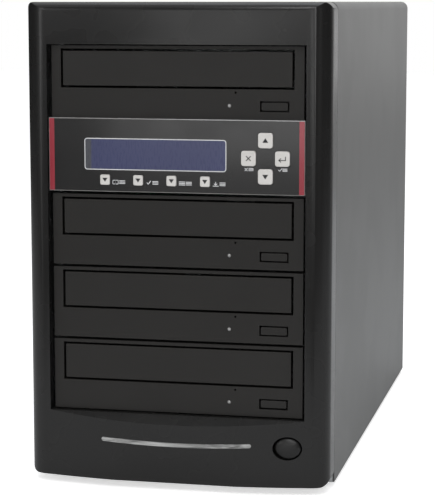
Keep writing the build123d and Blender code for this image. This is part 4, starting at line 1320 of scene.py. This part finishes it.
@dataclass
class Fan(Assembly):
    """One fan rotor with a cupped hub and swept, twisted blades."""

    node: str
    blades: int = 7
    tip_share: float = 0.985
    hub_share: float = 0.4284
    root_share: float = 0.9
    root_pitch: float = 52.0
    twist: float = 22.0
    root_chord: float = 0.713
    chord_growth: float = 0.253
    sweep: float = 0.28
    slant: float = 0.62
    camber: float = 0.12
    blade_sheet: float = 1.2 * MM
    brow: float = 1.2 * MM
    rim: float = 0.3 * MM
    bore_share: float = 0.13
    cup_shares: Pair = (0.62, 0.6)
    cup_depth: float = 0.25 * MM

    def make(self) -> None:
        """Makes the rotor inside its CAD node's own space."""
        low, high = corners(self.node)
        tip, half = (high.x - low.x) / 2 * self.tip_share, (high.y - low.y) / 2
        hub = tip * self.hub_share
        root = hub * self.root_share
        limit = half - self.blade_sheet
        mesh = bmesh.new()
        for vert in bmesh.ops.create_grid(mesh, x_segments=8, y_segments=5, size=0.5)["verts"]:
            u, v = vert.co.x + 0.5, vert.co.y
            radius = root + (tip - root) * u
            pitch = radians(self.root_pitch - self.twist * u)
            chord = (self.root_chord + self.chord_growth * u) * hub
            turn = self.sweep * u * u + chord * v * cos(pitch) / radius
            lift = chord * (self.camber * (0.25 - v * v) - self.slant * v * sin(pitch))
            vert.co = (radius * cos(turn), max(-limit, min(limit, lift)), radius * sin(turn))
        bmesh.ops.solidify(mesh, geom=mesh.faces[:], thickness=self.blade_sheet)
        blade = mesh.verts[:] + mesh.edges[:] + mesh.faces[:]
        bmesh.ops.spin(mesh, geom=blade, cent=(0, 0, 0), axis=(0, 1, 0),
                       angle=2 * pi * (self.blades - 1) / self.blades, steps=self.blades - 1,
                       use_duplicate=True)
        middle, brow, rim = (low + high) / 2, self.brow, self.rim
        bmesh.ops.translate(mesh, vec=middle, verts=mesh.verts)
        lip, cup = (hub * share for share in self.cup_shares)
        profile = [(hub * self.bore_share, -half), (hub - rim, -half), (hub, rim - half),
                   (hub, half - brow), (hub - brow * ROUNDING, half - brow * ROUNDING),
                   (hub - brow, half), (lip, half), (cup, half - self.cup_depth),
                   (0.0, half - self.cup_depth)]
        lathe(mesh, profile, middle)
        self.shop.piece(mesh, f"{self.node}_blades", [self.finishes.fan], self.shop.body_of[self.node],
                        "fan_plastic", (self.node,), edge_angle=38.0)


@dataclass
class FanGuards(Assembly):
    """Wire guards of both fans."""

    wire: float = 0.8 * MM
    rings: int = 4
    seat_gap: float = 0.1 * MM
    nesting: float = 0.3 * MM
    outer_gap: float = 2.0 * MM
    hole_inset: float = 4.25 * MM
    hole_radius: float = 1.8 * MM
    pad_radius: float = 4.0 * MM
    pad_rim: float = 0.3 * MM
    spoke_overlap: float = 0.5 * MM
    panel_sheet: float = 1.0 * MM
    supply_fan: float = 70.0 * MM
    steps: int = 64

    def make(self) -> None:
        """Bent wire rings on crossing wires, with washers at the screws."""
        mesh = bmesh.new()
        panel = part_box("rear_panel")[1][1]
        case_low, case_high = corners("case_fan_frame")
        self.guard(mesh, (case_low + case_high) / 2, panel, case_high.x - case_low.x)
        rotor_low, rotor_high = corners("psu_fan_rotor")
        self.guard(mesh, (rotor_low + rotor_high) / 2, panel - self.panel_sheet, self.supply_fan)
        self.shop.piece(mesh, "fan_guard_wires", [self.finishes.wire], "case", "wire", ("fan_guards",),
                        edge_angle=50.0)

    def guard(self, mesh: Mesh, middle: Vector, seat: float, size: float) -> None:
        """Adds one guard.

        Args:
            mesh: the mesh to add to.
            middle: the fan's middle.
            seat: Y of the face it stands on.
            size: the fan's width.
        """
        x, z = middle.x, middle.z
        outer = size / 2 - self.outer_gap
        spoke_y = seat + self.wire + self.seat_gap
        ring_y = spoke_y + 2 * self.wire - self.nesting
        for index in range(self.rings):
            radius = outer * (index + 1) / self.rings
            matrix = Matrix.Translation((x, ring_y, z + radius)) @ Matrix.Rotation(pi / 2, 4, "Y")
            made = bmesh.ops.create_circle(mesh, radius=self.wire, segments=10, matrix=matrix)["verts"]
            loop = list({edge for vert in made for edge in vert.link_edges})
            bmesh.ops.spin(mesh, geom=made + loop, cent=(x, ring_y, z), axis=(0, 1, 0), angle=2 * pi,
                           steps=self.steps, use_merge=True)
        holes = size / 2 - self.hole_inset
        reach = holes * sqrt(2) - self.pad_radius + self.spoke_overlap
        for quarter in (1, 3):
            matrix = Matrix.Translation((x, spoke_y, z)) @ Matrix.Rotation(quarter * pi / 4, 4, "Y")
            bmesh.ops.create_cone(mesh, cap_ends=True, segments=12, radius1=self.wire, radius2=self.wire,
                                  depth=2 * reach, matrix=matrix)
        hole, pad, rim, thick = self.hole_radius, self.pad_radius, self.pad_rim, 2 * self.wire
        profile = [(hole, 0.0), (pad - rim, 0.0), (pad, rim), (pad, thick - rim), (pad - rim, thick),
                   (hole, thick), (hole, 0.0)]
        for across in (-1, 1):
            for up in (-1, 1):
                lathe(mesh, profile, (x + across * holes, seat, z + up * holes), Axis.Y, 24)


@dataclass
class RearSide(Assembly):
    """Rear panel, screws, fans, power supply, inlet and mains switch."""

    pin_across: float = 9.0 * MM
    pin_up: float = 5.0 * MM
    mouth_depth: float = 13.9 * MM
    mouth_lip: float = 1.0 * MM

    def make(self) -> None:
        """Makes every piece of the rear."""
        for node, finish, edge in (
            ("rear_panel", self.finishes.rear, 0.15), ("rear_screws", self.finishes.screw, 0.2),
            ("psu_case", self.finishes.sheet, 0.2), ("case_fan_frame", self.finishes.fan, 0.3),
        ):
            self.shop.dress_copy(node, [finish], edge * MM)
        for node in ("case_fan_rotor", "psu_fan_rotor"):
            Fan(self.shop, self.finishes, node).make()
        FanGuards(self.shop, self.finishes).make()
        self.make_inlet()
        self.shop.dress_copy("mains_switch", [self.finishes.rocker], edge=0.35 * MM)

    def make_inlet(self) -> None:
        """Inlet with plated pins in its mouth."""
        low, high = corners("mains_inlet")
        middle = (low + high) / 2
        mouth_back = high.y - self.mouth_depth

        def region(place: Vector) -> int:
            """Pins are what stands inside the mouth."""
            inside = abs(place.x - middle.x) < self.pin_across and abs(place.z - middle.z) < self.pin_up
            return 1 if inside and mouth_back < place.y < high.y - self.mouth_lip else 0

        self.shop.dress_copy("mains_inlet", [self.finishes.inlet, self.finishes.pin],
                             edge=0.25 * MM, region=region)


# ---------------------------------------------------------------- stage
@dataclass(frozen=True)
class Lamp:
    """A soft square lamp that faces the tower."""

    name: str
    place: tuple[float, float, float]
    size: float
    power: float
    aim: tuple[float, float, float] = (0.0, 0.0, 0.14)
    tint: Color = (1.0, 1.0, 1.0)

    def make(self) -> None:
        """Adds the lamp."""
        data = bpy.data.lights.new(self.name, "AREA")
        data.shape = "SQUARE"
        data.size = self.size
        data.energy = self.power
        data.color = self.tint
        item = place_object(self.name, data)
        item.location = self.place
        toward = Vector(self.aim) - Vector(self.place)
        item.rotation_euler = toward.to_track_quat("-Z", "Y").to_euler()


@dataclass
class Studio:
    """White floor and background, soft lamps, dark side flags and the camera."""

    eye: tuple[float, float, float] = (0.2475, -1.19615, 0.2836)
    turn: float = 12.385
    tilt: float = 7.675
    lens: float = 132.8
    sensor: float = 36.0
    farthest: float = 50.0
    ambient: float = 0.42
    floor_half: float = 6.0
    floor_glow: float = 0.62
    flag_base: float = 0.02
    flag_tone: float = 0.02

    def make(self) -> None:
        """Makes the whole stage."""
        bpy.context.scene.view_settings.view_transform = "Standard"
        self.make_camera()
        self.make_world()
        self.make_floor()
        for lamp in (
            Lamp("key_softbox", (0.75, -1.75, 1.45), 0.9, 9.0),
            Lamp("left_softbox", (-1.05, -1.6, 0.72), 0.6, 3.6),
            Lamp("right_softbox", (0.33, -1.78, 0.5), 0.42, 2.0),
            Lamp("top_softbox", (0.1, 0.1, 2.0), 1.4, 15.0, tint=(0.9, 0.95, 1.0)),
            Lamp("brow_softbox", (0.08, -1.65, 1.42), 0.4, 7.0),
            Lamp("panel_softbox", (-0.25, -1.75, 0.28), 0.45, 2.1),
        ):
            lamp.make()
        for name, start, end, height in (
            ("left_flag", (-1.3, -0.9), (-1.28, 2.6), 2.0),
            ("right_flag", (1.28, -1.2), (1.3, 0.55), 2.0),
            ("front_flag", (-2.2, -2.62), (2.2, -2.6), 2.8),
            ("floor_flag", (-1.6, -2.6), (1.6, -0.5), 0.021),
        ):
            self.make_flag(name, start, end, height)

    def make_camera(self) -> None:
        """Places the camera at the photograph's viewpoint."""
        data = bpy.data.cameras.new("camera")
        data.lens = self.lens
        data.sensor_width = self.sensor
        data.clip_end = self.farthest
        item = place_object("camera", data)
        item.location = self.eye
        item.rotation_euler = (radians(90 - self.tilt), 0.0, radians(self.turn))
        bpy.context.scene.camera = item

    def make_world(self) -> None:
        """White background with a plain grey light."""
        world = bpy.data.worlds.new("studio_air")
        bpy.context.scene.world = world
        world.use_nodes = True
        sheet = NodeSheet(world.node_tree)
        path = sheet.add("ShaderNodeLightPath")
        seen = sheet.math("MAXIMUM", path.outputs["Is Camera Ray"], path.outputs["Is Glossy Ray"])
        seen = sheet.math("MAXIMUM", seen, path.outputs["Is Transmission Ray"])
        tone = sheet.blend(seen, (self.ambient,) * 3, (1.0, 1.0, 1.0))
        background = next(n for n in world.node_tree.nodes if n.type == "BACKGROUND")
        sheet.feed(background, Color=tone, Strength=1.0)

    def make_floor(self) -> None:
        """Pale floor that keeps the tower's shadow."""
        mesh = bmesh.new()
        bmesh.ops.create_grid(mesh, x_segments=1, y_segments=1, size=self.floor_half)
        item = mesh_object(mesh, "floor")
        sheet = FinishSheet("floor_paper")
        tone = sheet.ramp(sheet.noise(900.0, 3.0), 0.3, 0.7, 0.0, 1.0)
        color = sheet.blend(tone, (0.9, 0.9, 0.9), (0.93, 0.93, 0.93))
        path = sheet.add("ShaderNodeLightPath")
        glow = sheet.math("MULTIPLY", path.outputs["Is Camera Ray"], self.floor_glow)
        sheet.feed(sheet.shader, Base_Color=color, Roughness=0.9, Specular_IOR_Level=0.1,
                   Emission_Color=(1.0, 1.0, 1.0, 1.0), Emission_Strength=glow)
        item.data.materials.append(sheet.material)
        item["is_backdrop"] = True

    def make_flag(self, name: str, start: Pair, end: Pair, height: float) -> None:
        """Dark upright card beside the tower that only its gloss shows.

        Args:
            name: the card's name.
            start: lowest X and Y.
            end: highest X and Y.
            height: how high it stands.
        """
        mesh = bmesh.new()
        block(mesh, (*start, self.flag_base), (*end, height))
        item = mesh_object(mesh, name)
        sheet = FinishSheet(f"{name}_cloth")
        weave = sheet.ramp(sheet.noise(500.0, 2.0), 0.3, 0.7, 0.0, 1.0)
        dark, less_dark = (self.flag_tone,) * 3, (self.flag_tone * 1.4,) * 3
        sheet.feed(sheet.shader, Base_Color=sheet.blend(weave, dark, less_dark), Roughness=1.0,
                   Specular_IOR_Level=0.0)
        item.data.materials.append(sheet.material)
        item.visible_camera = False
        item.visible_shadow = False
        item.visible_diffuse = False
        item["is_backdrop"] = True


def main() -> None:
    """Loads the frame and builds every sub-assembly in order."""
    logging.basicConfig(level=logging.INFO, format="%(name)s: %(message)s")
    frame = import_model()
    solid_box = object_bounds()
    finishes = Finishes()
    shop = Workshop(frame)
    Studio().make()
    BezelMoulding(shop, finishes).make()
    SteelCase(shop, finishes).make()
    for number in range(1, 5):
        DiscDrive(shop, finishes, number).make()
    for assembly in (FrontLamps, ControlPanel, RearSide):
        assembly(shop, finishes).make()
    dressed_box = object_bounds()
    boxes = {"cad": [list(corner) for corner in solid_box],
             "visual": [list(corner) for corner in dressed_box]}
    LOG.info("%d new pieces, sizes %s", shop.count, boxes)


if __name__ == "__main__":
    main()
